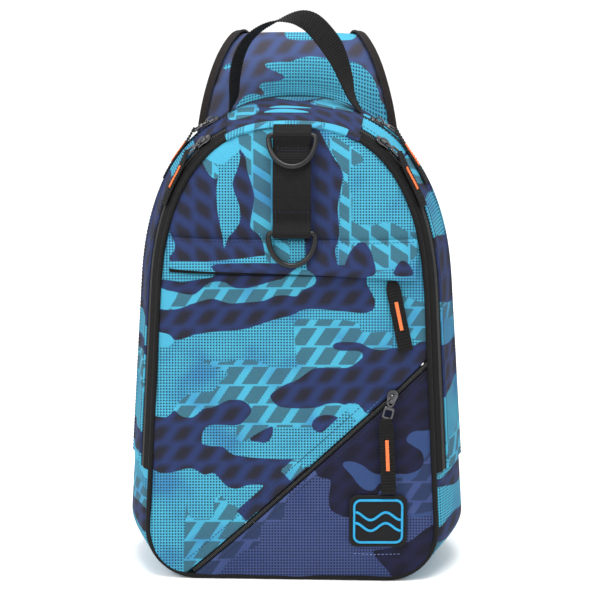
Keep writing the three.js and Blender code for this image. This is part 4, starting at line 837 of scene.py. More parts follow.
across = np.linspace(-ZIP_HALF_RUN, ZIP_HALF_RUN, 150)
down = np.linspace(0, 1, 24)[:, None]
flap_x = across + 0 * down
flap_z = FLAP_TOP + (flap_foot(across) - FLAP_TOP) * down
hang = flap_hang(flap_x, flap_z, down)
flap_face = front(flap_x, flap_z, hang + flap_roll(down))
flap_fields = print_fields(facing_place(flap_face), FRONT_PATCHES)
flap = slab("storm_flap_cloth", flap_face, front(flap_x, flap_z, hang), flap_fields)
dress(flap, "bag", "camo_cloth", CAMO, "storm_flap")

# Black tape and webbing: nylon, woven in fine ribs across its length. Its points carry their place along and
# across the band, in millimetres, for the ribs to follow.
def woven_black(name, tone, pitch, roughness=0.75, ribs=0.5, depth=0.0003):
    material, t, shader = new_material(name, roughness, specular=0.12)
    place = t.place()
    rib = t.wave(t.math("DIVIDE", t.parts(place)[0], pitch))
    weave = t.group(WEAVE, "Height", place=place, pitch=pitch * 0.62)
    height = t.math("MULTIPLY_ADD", rib, ribs, t.math("MULTIPLY", weave, 1 - ribs))
    mottle_and_glints = t.node("ShaderNodeTexNoise", {"Vector": place, "Scale": 0.25, "Detail": 4.0})
    # Painted highlight and shade: the colour is lighter on the rib and thread tops and darker between them; the noise
    # mottles it further.
    light = t.math("MULTIPLY_ADD", height, 0.9, t.math("MULTIPLY_ADD", mottle_and_glints, 0.8, 0.2))
    t.finish(shader, t.scaled(tone, light), height, 0.7, depth)
    shader.inputs["Sheen Weight"].default_value = 0.01
    return material


TAPE = woven_black("black_tape", (0.0070, 0.0066, 0.0066), 1.1)
WEBBING = woven_black("black_webbing", (0.0070, 0.0066, 0.0066), 1.5)
BINDING = woven_black("brown_black_binding", (0.0150, 0.0122, 0.0112), 1.2)

# The welts: a cord in black tape sewn into the front and the back edge. Over the top of the front edge, between
# the zips, it is covered in the bag's own printed cloth instead and is fuller.
WELT_BACK = 0.0006
WELT_SQUEEZE = 0.0005
SELF_WELT_X = 0.053
SELF_WELT_HALF = 0.0036
SELF_WELT_DEEP = 0.0100
SELF_WELT_BACK = 0.0074


def x_way(x):
    """The share of the way round at which the arch is as far out as x."""
    return way_where(lambda px, _: -px, -x, WAY_SIDE, 1.0)


def run_along(points):
    """How far each point of a line lies from its first."""
    return np.concatenate([[0], np.cumsum(np.linalg.norm(np.diff(points, axis=0), axis=1))])


def welt_rings(ring, y_at, ways, in_plane, deep, raised=0.0, around=16):
    """Rings round a welt's cord, at ways given as side and share of the way, and their place on its tape."""
    side = np.array([s for s, _ in ways], float)
    u = np.array([w for _, w in ways], float)
    x, z = ring_point(ring, u)
    nx, nz = ring_normal(u)
    angle = np.linspace(0, 2 * math.pi, around, endpoint=False)
    out = raised + in_plane * (np.cos(angle)[None, :] - 1)
    lumps = 1 + 0.035 * np.sin(u * 190)[:, None]
    centre = np.stack([side[:, None] * (x[:, None] + nx[:, None] * out),
                       y_at(z)[:, None] + deep * lumps * np.sin(angle)[None, :],
                       z[:, None] + nz[:, None] * out], -1)
    along = (run_along(centre[:, 0]) * MM)[:, None]
    return centre, np.stack([along + 0 * angle, angle * deep * MM + 0 * along, 0 * along * angle], -1)


turn_in = x_way(SELF_WELT_X)
round_front = [(1, u) for u in np.linspace(turn_in, 0, 190)] + [(-1, u) for u in np.linspace(0, turn_in, 190)[1:]]
rings, place = welt_rings(
    FRONT, lambda z: front_edge_y(z) + WELT_BACK, round_front, WELT_RADIUS - WELT_SQUEEZE, WELT_RADIUS
)
dress(tube("front_welt", rings, fields={"place": place}), "bag", "black_trim", TAPE, "front_piping")

over_top = [(1, u) for u in np.linspace(turn_in, 1, 60)] + [(-1, u) for u in np.linspace(1, turn_in, 60)[1:]]
rings, place = welt_rings(
    FRONT, lambda z: front_edge_y(z) + SELF_WELT_BACK, over_top, SELF_WELT_HALF, SELF_WELT_DEEP, raised=0.0010
)
WELT_PATCHES = [
    (kind, [(a, -40), (b, -40), (b + lean, 60), (a + lean, 60)])
    for kind, a, b, lean in (
        ("plain", -40, -29, 3), ("checks", -28, -18, -2), ("plain", -17, -8, 2), ("checks", 3, 20, 2),
        ("plain", 22, 40, 4), ("dark", 42, 70, 2),
    )
]
spread = np.stack([rings[..., 0] * MM, place[..., 1]], -1)
self_welt = tube("front_welt_cloth", rings, fields=print_fields(spread, WELT_PATCHES))
dress(self_welt, "bag", "camo_cloth", CAMO, "front_piping")

round_back = [(1, u) for u in np.linspace(1, 0, 200)] + [(-1, u) for u in np.linspace(0, 1, 200)[1:-1]]
rings, place = welt_rings(BACK, lambda z: np.full_like(z, BACK_Y), round_back, WELT_RADIUS, WELT_RADIUS)
dress(tube("back_welt", rings, closed=True, fields={"place": place}), "bag", "black_trim", TAPE, "back_piping")

# The gusset: printed cloth between the welts, in strips parted by the zips, with a piece over the top and one
# under the foot. The print runs round it in bands.
FIRST_ROW = WELT_RADIUS + 0.0003
ZIP_WIDTH = 0.0156
REAR_ZIP_FROM_BACK = 0.045
SEAM_GAP = 0.0004
LIP_OVER = 0.0040
LIP_LIFT = 0.0022
ZIP_FOOT_Z = 0.089
TOP_SEAM_X = 0.052
TOP_DENTS = 0.0009
zip_foot = way_where(lambda _, z: z, ZIP_FOOT_Z, WAY_CORNER, WAY_SIDE)
top_seam = x_way(TOP_SEAM_X)


def from_front(u, distance):
    return distance / depth_at(u)


def from_back(u, distance):
    return 1 - distance / depth_at(u)


def way_height(u):
    """Distance up along the outline, level with the real height on the straight sides, in millimetres."""
    return (SPRING_HEIGHT + (u - WAY_SIDE) * WAY_LENGTH) * MM


def tuck(u, t):
    edge = np.minimum(t, 1 - t) * depth_at(u)
    return np.clip((0.006 - edge) / 0.003, 0, 1) * WELT_RADIUS * 0.5


def band_outline(side, high, low, seed):
    """A wavering band across the gusset."""
    s = np.linspace(112, 262, 12)
    top = high + 3.0 * np.sin((s - 130) / 11 + seed) + (s - 140) * 0.12 * math.sin(seed * 2.3)
    foot = low + 3.0 * np.sin((s - 130) / 13 + seed * 1.7) + (s - 140) * 0.12 * math.sin(seed * 3.1)
    return list(zip(side * s, top)) + list(zip(side * s[::-1], foot[::-1]))


RIGHT_BANDS = [
    ("dark", 470, 286), ("dark", 258, 223), ("dark", 190, 150), ("checks", 112, 84), ("dark", 84, 72),
    ("dark", 44, 29), ("checks", 222, 206), ("checks", 28, 6),
]
LEFT_BANDS = [
    ("dark", 470, 338), ("dark", 308, 206), ("dark", 189, 178), ("checks", 177, 150), ("dark", 115, 96),
    ("plain", 96, 84), ("checks", 72, 54), ("dark", 54, 38),
]
hatch_low, hatch_high = (way_height(x_way(x)) for x in (0.077, 0.056))
GUSSET_PATCHES = {
    1: [(k, band_outline(1, a, b, i * 1.3)) for i, (k, a, b) in enumerate(RIGHT_BANDS)]
    + [("plain", [(133, hatch_low), (133, hatch_high + 4), (178, hatch_high + 4), (172, hatch_low - 4)]),
       ("checks", [(128, hatch_low - 26), (128, hatch_low - 8), (175, hatch_low - 16), (170, hatch_low - 40)])],
    -1: [(k, band_outline(-1, a, b, i * 1.9 + 1)) for i, (k, a, b) in enumerate(LEFT_BANDS)]
    + [("dots", [(-133, hatch_low - 12), (-133, hatch_low), (-170, hatch_low + 5), (-160, hatch_low - 20)])],
}
TOP_PATCHES = [
    ("dark", [(-70, 360), (70, 360), (70, 480), (-70, 480)]),
    ("checks", [(12, 424), (24, 414), (38, 413), (47, 420), (43, 440), (34, 452), (24, 448), (16, 438)]),
    ("plain", [(16, 428), (28, 420), (40, 422), (36, 440), (24, 442)]),
    ("plain", [(-24, 398), (-6, 392), (12, 393), (2, 400), (-14, 403)]),
    ("plain", [(-20, 408), (0, 405), (14, 407), (2, 411), (-12, 412)]),
    ("checks", [(-50, 400), (-36, 396), (-28, 404), (-34, 430), (-48, 440), (-54, 420)]),
    ("dots", [(-16, 440), (4, 430), (20, 452), (6, 466), (-12, 462)]),
]
BASE_PATCHES = [
    ("dark", [(-80, -20), (-30, -10), (10, -34), (60, -18), (96, -40), (60, -66), (0, -58), (-50, -74), (-92, -48)]),
    ("checks", [(-60, -84), (0, -72), (50, -84), (40, -104), (-40, -108)]),
]


def gusset_strip(name, side, ways, span, node, columns):
    u = ways[:, None] + 0 * np.linspace(0, 1, columns)
    t0, t1 = span(ways)
    t = t0[:, None] + (t1 - t0)[:, None] * np.linspace(0, 1, columns)
    depth = t * depth_at(u) * MM
    places = np.stack([side * (HALF_WIDTH_FRONT * MM + depth), way_height(u)], -1)
    seam = np.minimum(t - t0[:, None], t1[:, None] - t) * depth_at(u)
    soft = 0.0011 * ripple(depth / MM, way_height(u) / MM, 0.055) * np.clip(seam / 0.012, 0, 1)
    pillow = LIP_LIFT * np.exp(-(seam / 0.0045) ** 2) - LIP_LIFT * 0.5 * np.exp(-(seam / 0.0008) ** 2)
    lift = soft + pillow - tuck(u, t)
    made = slab(name, skin(side, u, t, lift), skin(side, u, t, lift - CLOTH),
                print_fields(places, GUSSET_PATCHES[side]))
    return dress(made, "bag", "camo_cloth", CAMO, node)


def front_zip_span(u):
    return from_front(u, FIRST_ROW), from_front(u, FIRST_ROW + ZIP_WIDTH)


def rear_zip_span(u):
    return from_back(u, REAR_ZIP_FROM_BACK + ZIP_WIDTH), from_back(u, REAR_ZIP_FROM_BACK)


ways = np.linspace(zip_foot, top_seam, 210)
for side, word in ((-1, "left"), (1, "right")):
    gusset_strip(
        f"middle_gusset_cloth_{word}", side, ways,
        lambda u: (front_zip_span(u)[1] - LIP_OVER / depth_at(u), rear_zip_span(u)[0] + LIP_OVER / depth_at(u)),
        f"middle_gusset_{word}", 30,
    )
    gusset_strip(
        f"rear_gusset_cloth_{word}", side, ways,
        lambda u: (rear_zip_span(u)[1] - LIP_OVER / depth_at(u), from_back(u, FIRST_ROW)),
        f"rear_gusset_{word}", 34,
    )


def cross_piece(name, end, middle, patches, place_of, node, dents):
    """A strip of the gusset from one side to the other, over the top or under the foot."""
    half = np.linspace(middle, end, 110)
    u = np.concatenate([half[::-1], half[1:]])
    side = np.where(np.arange(len(u)) < len(half), -1, 1)
    share = np.linspace(0, 1, 64)
    t = from_front(u, FIRST_ROW)[:, None] * (1 - share) + from_back(u, FIRST_ROW)[:, None] * share
    grid_u = u[:, None] + 0 * share
    depth = t * depth_at(grid_u)
    soft = dents * ripple(ring_point(FRONT, grid_u)[0] * side[:, None], depth, 0.05)
    lift = soft * np.clip(np.minimum(t, 1 - t) * 6, 0, 1) - tuck(grid_u, t)
    on_left = (side < 0)[:, None, None]
    face, lining = (
        np.where(on_left, skin(-1, grid_u, t, raised), skin(1, grid_u, t, raised)) for raised in (lift, lift - CLOTH)
    )
    made = slab(name, face, lining, print_fields(place_of(face, grid_u, depth * MM, side[:, None]), patches))
    return dress(made, "bag", "camo_cloth", CAMO, node)


cross_piece(
    "top_gusset_cloth", top_seam + SEAM_GAP, 1.0, TOP_PATCHES,
    lambda face, u, depth, side: np.stack([face[..., 0] * MM, HEIGHT_FRONT * MM + depth], -1), "top_gusset",
    TOP_DENTS,
)
base_patches = BASE_PATCHES + GUSSET_PATCHES[1] + GUSSET_PATCHES[-1]


def base_place(face, u, depth, side):
    up = u > (WAY_FOOT + WAY_CORNER) / 2
    across = np.where(up, side * (HALF_WIDTH_FRONT * MM + depth), face[..., 0] * MM)
    return np.stack([across, np.where(up, way_height(u), -depth)], -1)


cross_piece("base_gusset_cloth", zip_foot - SEAM_GAP, 0.0, base_patches, base_place, "base_gusset", 0.0)

# The side zips: black woven tapes with a folded edge beside a nylon coil. The coil is one small link repeated
# along the zip's middle line, and the zips run from the top seam down to a hand's breadth over the foot.
COIL_HALF = 0.0026
COIL_PITCH = 0.0016


def repeat_tree():
    """Sets a unit at every point, its length along the point's 'along' and its top towards its 'out'."""
    tree = bpy.data.node_groups.new("repeat_along", "GeometryNodeTree")
    tree.is_modifier = True
    for label, kind in (
        ("Geometry", "NodeSocketGeometry"), ("Unit", "NodeSocketObject"), ("Size", FLOAT),
        ("Finish", "NodeSocketMaterial"),
    ):
        tree.interface.new_socket(label, in_out="INPUT", socket_type=kind)
    tree.interface.new_socket("Geometry", in_out="OUTPUT", socket_type="NodeSocketGeometry")
    new, link = tree.nodes.new, tree.links.new
    given, out = new("NodeGroupInput").outputs, new("NodeGroupOutput").inputs
    turned = None
    for name, axis, pivot in (("along", "X", "AUTO"), ("out", "Z", "X")):
        attribute = new("GeometryNodeInputNamedAttribute")
        attribute.data_type = "FLOAT_VECTOR"
        attribute.inputs["Name"].default_value = name
        turn = new("FunctionNodeAlignRotationToVector")
        turn.axis, turn.pivot_axis = axis, pivot
        link(attribute.outputs["Attribute"], turn.inputs["Vector"])
        if turned:
            link(turned, turn.inputs["Rotation"])
        turned = turn.outputs["Rotation"]
    unit = new("GeometryNodeObjectInfo")
    link(given["Unit"], unit.inputs["Object"])
    spread = new("GeometryNodeInstanceOnPoints")
    link(given["Geometry"], spread.inputs["Points"])
    link(unit.outputs["Geometry"], spread.inputs["Instance"])
    link(turned, spread.inputs["Rotation"])
    link(given["Size"], spread.inputs["Scale"])
    real, finish = new("GeometryNodeRealizeInstances"), new("GeometryNodeSetMaterial")
    link(spread.outputs["Instances"], real.inputs["Geometry"])
    link(real.outputs["Geometry"], finish.inputs["Geometry"])
    link(given["Finish"], finish.inputs["Material"])
    link(finish.outputs["Geometry"], out["Geometry"])
    return tree


REPEAT = repeat_tree()


def repeat(name, unit, places, along, out, material, size=1.0):
    """A plain mesh of the unit repeated at the places; the unit is used up."""
    mesh = bpy.data.meshes.new(name + "_points")
    mesh.from_pydata(np.asarray(places).tolist(), [], [])
    set_fields(mesh, {"along": along, "out": out})
    points = bpy.data.objects.new(name + "_points", mesh)
    modifier = points.modifiers.new("repeat", "NODES")
    modifier.node_group = REPEAT
    values = {"Unit": unit, "Size": size, "Finish": material}
    for item in REPEAT.interface.items_tree:
        if item.item_type == "SOCKET" and item.in_out == "INPUT" and item.name in values:
            modifier[item.identifier] = values[item.name]
    scene.collection.objects.link(points)
    ready = points.evaluated_get(bpy.context.evaluated_depsgraph_get())
    made = bpy.data.meshes.new_from_object(ready)
    bpy.data.objects.remove(points)
    bpy.data.meshes.remove(mesh)
    bpy.data.objects.remove(unit)
    made.shade_smooth()
    obj = bpy.data.objects.new(name, made)
    scene.collection.objects.link(obj)
    return obj


def plastic(name, tone, roughness, grain=0.15, metallic=0.0, specular=0.5):
    """Moulded or cast stuff with a faint grain and some handling wear, in its own frame of coordinates."""
    material, t, shader = new_material(name, roughness, metallic, specular)
    where = t.node("ShaderNodeTexCoord", output="Object")
    fine = t.node("ShaderNodeTexNoise", {"Vector": where, "Scale": 900.0, "Detail": 3.0})
    broad = t.node("ShaderNodeTexNoise", {"Vector": where, "Scale": 90.0, "Detail": 3.0})
    light = t.math("MULTIPLY_ADD", broad, 0.5, 0.75)
    rough = t.math("MULTIPLY_ADD", broad, 0.22, roughness - 0.11)
    t.tree.links.new(rough, shader.inputs["Roughness"])
    t.finish(shader, t.scaled(tone, light), fine, grain, 0.0001)
    return material


COIL = plastic("nylon_coil", (0.012, 0.012, 0.012), 0.42, 0.05)


def link_unit(half, rise, wire=0.00042):
    """One turn of a zip coil: a flat rounded link lying across the zip."""
    around = np.linspace(0, 2 * math.pi, 12, endpoint=False)
    flat = np.linspace(0, 2 * math.pi, 6, endpoint=False)
    rings = []
    for a in around:
        centre = np.array([0.00018 * math.sin(a), half * math.cos(a), rise * 0.5 + rise * 0.5 * math.sin(a)])
        outward = np.array([0, math.cos(a), math.sin(a)])
        rings.append([centre + wire * (math.cos(b) * outward + math.sin(b) * np.array([1.5, 0, 0])) for b in flat])
    return tube("coil_link", np.array(rings), closed=True, sharp=180)


def unit(v):
    return v / np.maximum(np.linalg.norm(v, axis=-1, keepdims=True), 1e-12)


def carry(values, lengths, at):
    """Values along a line, at the places wanted."""
    return np.stack([np.interp(at, lengths, values[:, i]) for i in range(values.shape[1])], -1)


def lay_along(points, pitch):
    """Even places along a line of points, with the direction at each."""
    lengths = run_along(points)
    count = max(int(lengths[-1] / pitch), 2)
    at = (np.arange(count) + 0.5) * lengths[-1] / count
    places, ahead, behind = (carry(points, lengths, at + step) for step in (0, 1e-4, -1e-4))
    return at, lengths, places, unit(ahead - behind)


TAPE_PROFILE = np.array([
    (0.0, -0.0006), (0.02, -0.0002), (0.10, 0.0), (0.22, 0.0001), (0.28, 0.0006), (0.325, 0.0009),
    (0.36, 0.0004), (0.38, -0.0006), (0.5, -0.0008), (0.62, -0.0006), (0.64, 0.0004), (0.675, 0.0009),
    (0.72, 0.0006), (0.78, 0.0001), (0.90, 0.0), (0.98, -0.0002), (1.0, -0.0006),
])
zip_ways = np.linspace(zip_foot, top_seam, 220)
for side, word in ((-1, "left"), (1, "right")):
    for where, span in (("front", front_zip_span), ("rear", rear_zip_span)):
        t0, t1 = span(zip_ways)
        u = zip_ways[:, None] + 0 * TAPE_PROFILE[:, 0]
        t = t0[:, None] + (t1 - t0)[:, None] * TAPE_PROFILE[:, 0]
        lift = TAPE_PROFILE[:, 1] + 0 * u - tuck(u, t)
        across = (TAPE_PROFILE[:, 0] * ZIP_WIDTH * MM) + 0 * u
        tape_place = np.stack([way_height(u), across, 0 * u], -1)
        tape = slab(f"{where}_zip_tape_{word}", skin(side, u, t, lift), skin(side, u, t, lift - 0.0011),
                    {"place": tape_place})
        dress(tape, "bag", "black_trim", TAPE, f"{where}_zip_{word}")
        middle = (t0 + t1) / 2
        line = skin(side, zip_ways, middle, -0.0007)
        at, lengths, places, direction = lay_along(line, COIL_PITCH)
        normal = carry(skin_normal(side, zip_ways, middle), lengths, at)
        coil = repeat(f"{where}_zip_coil_{word}", link_unit(COIL_HALF, 0.0013), places, direction, normal, COIL)
        dress(coil, "bag", "black_trim", COIL, f"{where}_zip_{word}")

# The front zips: one across under the storm flap, and a fine one sunk between the turned edges of the slanting
# slit. Both are the same black tape and coil as the side zips.
def front_normal(x, z):
    step = 1e-3
    return unit(np.cross(front(x + step, z) - front(x - step, z), front(x, z + step) - front(x, z - step)))


def slant_place(along, off):
    return (
        SLANT_FOOT[0] + along * math.cos(SLANT) - off * math.sin(SLANT),
        SLANT_FOOT[1] + along * math.sin(SLANT) + off * math.cos(SLANT),
    )


pocket_x = np.linspace(-ZIP_HALF_RUN + 0.0006, ZIP_HALF_RUN - 0.0006, 160)
rows = ZIP_LOW + 0.0003 + (ZIP_HIGH - ZIP_LOW - 0.0006) * TAPE_PROFILE[:, 0]
tape_x, tape_z = np.meshgrid(pocket_x, rows, indexing="ij")
lift = TAPE_PROFILE[:, 1] - 0.0007 + 0 * tape_x
tape_place = np.stack([tape_x, tape_z, 0 * tape_x], -1) * MM
pocket_tape = slab("pocket_zip_tape", front(tape_x, tape_z, lift), front(tape_x, tape_z, lift - 0.0010),
                   {"place": tape_place})
dress(pocket_tape, "bag", "black_trim", TAPE, "front_pocket_zip")
line_z = np.full_like(pocket_x, (ZIP_LOW + ZIP_HIGH) / 2)
at, lengths, places, direction = lay_along(front(pocket_x, line_z, -0.0012), COIL_PITCH)
pocket_coil = repeat("pocket_zip_coil", link_unit(COIL_HALF, 0.0013), places, direction,
                     carry(front_normal(pocket_x, line_z), lengths, at), COIL)
dress(pocket_coil, "bag", "black_trim", COIL, "front_pocket_zip")

SLANT_END = 0.2570
along_slant = np.linspace(0.0005, SLANT_END, 170)
offs = np.array([-0.0020, -0.0012, -0.0008, 0.0008, 0.0012, 0.0020])
grid_along, grid_off = np.meshgrid(along_slant, offs, indexing="ij")
sx, sz = slant_place(grid_along, grid_off)
lift = np.array([-0.0016, -0.0015, -0.0019, -0.0019, -0.0015, -0.0016]) + 0 * grid_along
slant_tape = slab("slant_zip_tape", front(sx, sz, lift), front(sx, sz, lift - 0.0010),
                  {"place": np.stack([grid_along, grid_off, 0 * sx], -1) * MM})
dress(slant_tape, "bag", "black_trim", TAPE, "slant_zip")
sx, sz = slant_place(along_slant, 0.0)
at, lengths, places, direction = lay_along(front(sx, sz, -0.0021), 0.0013)
slant_coil = repeat("slant_zip_coil", link_unit(0.0012, 0.0011, 0.0003), places, direction,
                    carry(front_normal(sx, sz), lengths, at), COIL)
dress(slant_coil, "bag", "black_trim", COIL, "slant_zip")

# The sliders: cast zinc in a dark plating. Each has a waisted body, a crown over it, and a puller with a ring
# round the crown and a slotted link for the pull webbing.
SLIDER_LIFT = 0.0013
PULLER_LENGTH = 0.015
GUNMETAL = plastic("dark_plated_metal", (0.085, 0.085, 0.09), 0.22, 0.05, metallic=1.0)


class Shape:
    """Closed forms gathered into one mesh."""

    def __init__(self):
        self.points, self.faces, self.count = [], [], 0

    def add(self, rings, closed=False):
        flat = rings.reshape(-1, 3)
        faces = ring_faces(rings, closed)
        volume = sum(
            flat[f[0]] @ np.cross(flat[f[i]], flat[f[i + 1]]) for f in faces for i in range(1, len(f) - 1)
        )
        order = -1 if volume < 0 else 1
        self.points.append(flat)
        self.faces += [[self.count + i for i in f[::order]] for f in faces]
        self.count += len(flat)

    def prism(self, outline, low, high, bevel):
        """An extruded outline with rounded rims."""
        outline = np.asarray(outline, float)
        middle = outline.mean(0)
        far = np.linalg.norm(outline - middle, axis=1).mean()
        rings = []
        for z, inset in ((low, bevel), (low + bevel, 0), (high - bevel, 0), (high - bevel * 0.3, bevel * 0.35),
                         (high, bevel)):
            flat = middle + (outline - middle) * (1 - inset / far)
            rings.append(np.column_stack([flat, np.full(len(flat), z)]))
        self.add(np.array(rings))

    def hoop(self, outer, inner, low, high, sides=10):
        """A flat plate between two outlines, with rounded rims."""
        outer, inner = np.asarray(outer, float), np.asarray(inner, float)
        middle, half = (outer + inner) / 2, (outer - inner) / 2
        rings = []
        for a in np.linspace(0, 2 * math.pi, sides, endpoint=False) + math.pi / sides:
            c, s = (math.copysign(abs(f(a)) ** 0.5, f(a)) for f in (math.cos, math.sin))
            flat = middle + half * c
            rings.append(np.column_stack([flat, np.full(len(flat), (low + high) / 2 + (high - low) / 2 * s)]))
        self.add(np.array(rings).transpose(1, 0, 2), closed=True)

    def object(self, name, matrix=None, sharp=35):
        points = np.concatenate(self.points)
        if matrix is not None:
            points = points @ matrix[:3, :3].T + matrix[:3, 3]
        return mesh_object(name, points, self.faces, sharp=sharp)


def rounded(x0, x1, half, corner, steps=5):
    """A rounded rectangle from x0 to x1, half to each side of the line."""
    points = []
    for cx, cy, start in ((x1, -half, -90), (x1, half, 0), (x0, half, 90), (x0, -half, 180)):
        sx, sy = math.copysign(1, cx - (x0 + x1) / 2), math.copysign(1, cy)
        for k in range(steps + 1):
            a = math.radians(start + 90 * k / steps)
            points.append((cx - sx * corner + corner * math.cos(a), cy - sy * corner + corner * math.sin(a)))
    return points


def basis(at, along, out):
    x = along - out * (along @ out)
    x = x / np.linalg.norm(x)
    matrix = np.eye(4)
    matrix[:3, 0], matrix[:3, 1], matrix[:3, 2], matrix[:3, 3] = x, np.cross(out, x), out, at
    return matrix


def mirrored(half):
    """A closed outline in metres from half of it, given in millimetres."""
    points = [(x / MM, y / MM) for x, y in half]
    return points + [(x, -y) for x, y in points[::-1]]


SLIDER_BODY = mirrored(
    [(-8.0, 0.9), (-7.6, 2.6), (-6.2, 3.9), (-4.4, 4.45), (-2.0, 4.3), (0.6, 3.6), (3.0, 3.35), (4.7, 3.2)]
)
CROWN_BAND = [(1, 0.7), (0.6, 1), (-0.6, 1), (-1, 0.7), (-1, -0.7), (-0.6, -1), (0.6, -1), (1, -0.7)]


def slider(name, at, along, out, node, pull=True):
    """A slider on its zip; the pocket's, under the flap, is a thinner body without crown or puller."""
    shape = Shape()
    shape.prism(SLIDER_BODY, 0.0, 0.0022 if pull else 0.0012, 0.0006)
    if pull:
        arch = np.linspace(0, math.pi, 13)
        cx, cz = -0.0005 - 0.0038 * np.cos(arch), 0.0018 + 0.0031 * np.sin(arch) ** 0.7
        crown = []
        for x, z, a in zip(cx, cz, arch):
            n = np.array([-math.cos(a), 0, math.sin(a)])
            crown.append([np.array([x, 0.0013 * w, z]) + n * 0.0005 * v for v, w in CROWN_BAND])
        shape.add(np.array(crown))
        turn = np.linspace(0, 2 * math.pi, 24, endpoint=False)
        eye = np.column_stack([0.0032 + 0.0029 * np.cos(turn), 0.0029 * np.sin(turn)])
        hole = np.column_stack([0.0030 + 0.0014 * np.cos(turn), 0.0014 * np.sin(turn)])
        shape.hoop(eye, hole, 0.0024, 0.0036)
        shape.prism(rounded(0.0052, 0.0080, 0.0014, 0.0004), 0.0024, 0.0036, 0.0003)
        shape.hoop(rounded(0.0062, 0.0158, 0.0044, 0.0018), rounded(0.0086, 0.0141, 0.0028, 0.0010), 0.0022, 0.0038)
    return dress(shape.object(name, basis(at, along, out)), "bag", "dark_metal", GUNMETAL, node)


side_pulls = []
for side, word in ((-1, "left"), (1, "right")):
    for where, span, x in (("front", front_zip_span, 0.068), ("rear", rear_zip_span, 0.062)):
        u = np.array(x_way(x))
        t = (span(u)[0] + span(u)[1]) / 2
        at, out = skin(side, u, t, SLIDER_LIFT), skin_normal(side, u, t)
        along = skin(side, u - 0.01, t) - skin(side, u, t)
        slider(f"{where}_slider_metal_{word}", at, along, out, f"{where}_slider_{word}")
        side_pulls.append((side, word, where, span, u))

POCKET_SLIDER = np.array([0.0785, 0.2580])
slider("pocket_slider_metal", front(*POCKET_SLIDER, SLIDER_LIFT - 0.0003), np.array([0, 0, -1.0]),
       front_normal(*POCKET_SLIDER), "pocket_slider", pull=False)
SLANT_SLIDER = np.array(slant_place(0.217, 0.0))
SLANT_LEAN = -0.0039
slider("slant_slider_metal", front(*SLANT_SLIDER, SLIDER_LIFT), np.array([SLANT_LEAN, 0, -PULLER_LENGTH]),
       front_normal(*SLANT_SLIDER), "slant_slider")

# The pulls: narrow black webbing threaded through the puller, with strong ribs across it and an orange stripe
# woven up its middle, which stands out like a little rope.
PULL_HALF = 0.0060
PULL_THICK = 0.0016
PULL_LIFT = 0.0032
PULL_GAP = 0.0008
SIDE_PULL_LENGTH = 0.050
RIB_PITCH = 0.0026
PULL_REST = 0.0021
DRIFT = {("rear", -1): 0.004, ("rear", 1): -0.009, ("front", -1): 0.0, ("front", 1): 0.0}


def through(points, count):
    """A smooth line through points of any width, at even shares of its length."""
    p = np.asarray(points, float)
    p = np.concatenate([[2 * p[0] - p[1]], p, [2 * p[-1] - p[-2]]])
    rows = []
    for i in range(1, len(p) - 2):
        rows += [bend(p[i - 1], p[i], p[i + 1], p[i + 2], s) for s in np.arange(16) / 16]
    rows = np.array(rows + [p[-2]])
    far = run_along(rows[:, :3])
    return carry(rows, far, np.linspace(0, far[-1], count))


BAND = [(-1, -0.3), (-0.97, -0.9), (-0.9, -1), (-0.5, -1), (0, -1), (0.5, -1), (0.9, -1), (0.97, -0.9), (1, -0.3),
        (1, 0.3), (0.97, 0.9), (0.9, 1), (0.5, 1), (0, 1), (-0.5, 1), (-0.9, 1), (-0.97, 0.9), (-1, 0.3)]


def ribbon(name, at, across, out, half, thick, pitch=None, rib=0.0, slant=0.0, sharp=60):
    """A woven band along a line, with rounded edges and, where a pitch is given, ribs across it."""
    at, across, out = np.asarray(at), unit(np.asarray(across)), unit(np.asarray(out))
    half = np.broadcast_to(half, len(at))
    far = run_along(at)
    profile = np.array(BAND)
    c, d = profile[:, 0], profile[:, 1]
    height = 0.5 * thick + 0 * far[:, None] * c
    if pitch:
        phase = 2 * math.pi * (far[:, None] + slant * c * half[:, None]) / pitch
        height = height - rib * (0.5 - 0.5 * np.cos(phase))
    rings = (
        at[:, None] + across[:, None] * (c * half[:, None])[..., None] + out[:, None] * (height * d)[..., None]
    )
    place = np.stack([far[:, None] + 0 * c, c * half[:, None], 0 * height], -1) * MM
    return tube(name, rings, fields={"place": place}, sharp=sharp)


def orange_material():
    material, t, shader = new_material("orange_thread", 0.55, specular=0.3)
    place = t.place()
    along, across = t.parts(place)
    lay = t.math("MULTIPLY_ADD", across, 0.7, along)
    strand = t.wave(t.math("DIVIDE", lay, 1.7))
    # Painted shade: the strands are orange on their crowns and dark brown in the grooves between them.
    color = t.blend(t.smooth(strand, 0.05, 0.45), (0.16, 0.03, 0.012, 1), (0.86, 0.19, 0.05, 1))
    t.finish(shader, color, strand, 0.6, 0.0003)
    return material


ORANGE = orange_material()


def pull(name, at, across, out, node, stripe=(0.3, 0.7)):
    """A pull webbing and its orange stripe along the same line."""
    count = 210
    line = through(np.concatenate([at, across, out], axis=1), count)
    at, across, out = line[:, :3], unit(line[:, 3:6]), unit(line[:, 6:9])
    share = np.linspace(0, 1, count)
    half = PULL_HALF * (0.42 + 0.58 * np.clip(share / 0.10, 0, 1) ** 0.6) * (0.94 + 0.06 * share)
    dress(ribbon(name, at, across, out, half, PULL_THICK, RIB_PITCH, 0.00060), "bag", "black_webbing", WEBBING, node)
    kept = (share > stripe[0]) & (share < stripe[1])
    raised = at[kept] + out[kept] * (PULL_THICK / 2 + 0.00015)
    made = ribbon(name + "_stripe", raised, across[kept], out[kept], 0.0014, 0.0010, 0.0017, 0.0003, slant=0.9)
    dress(made, "bag", "black_webbing", ORANGE, node)


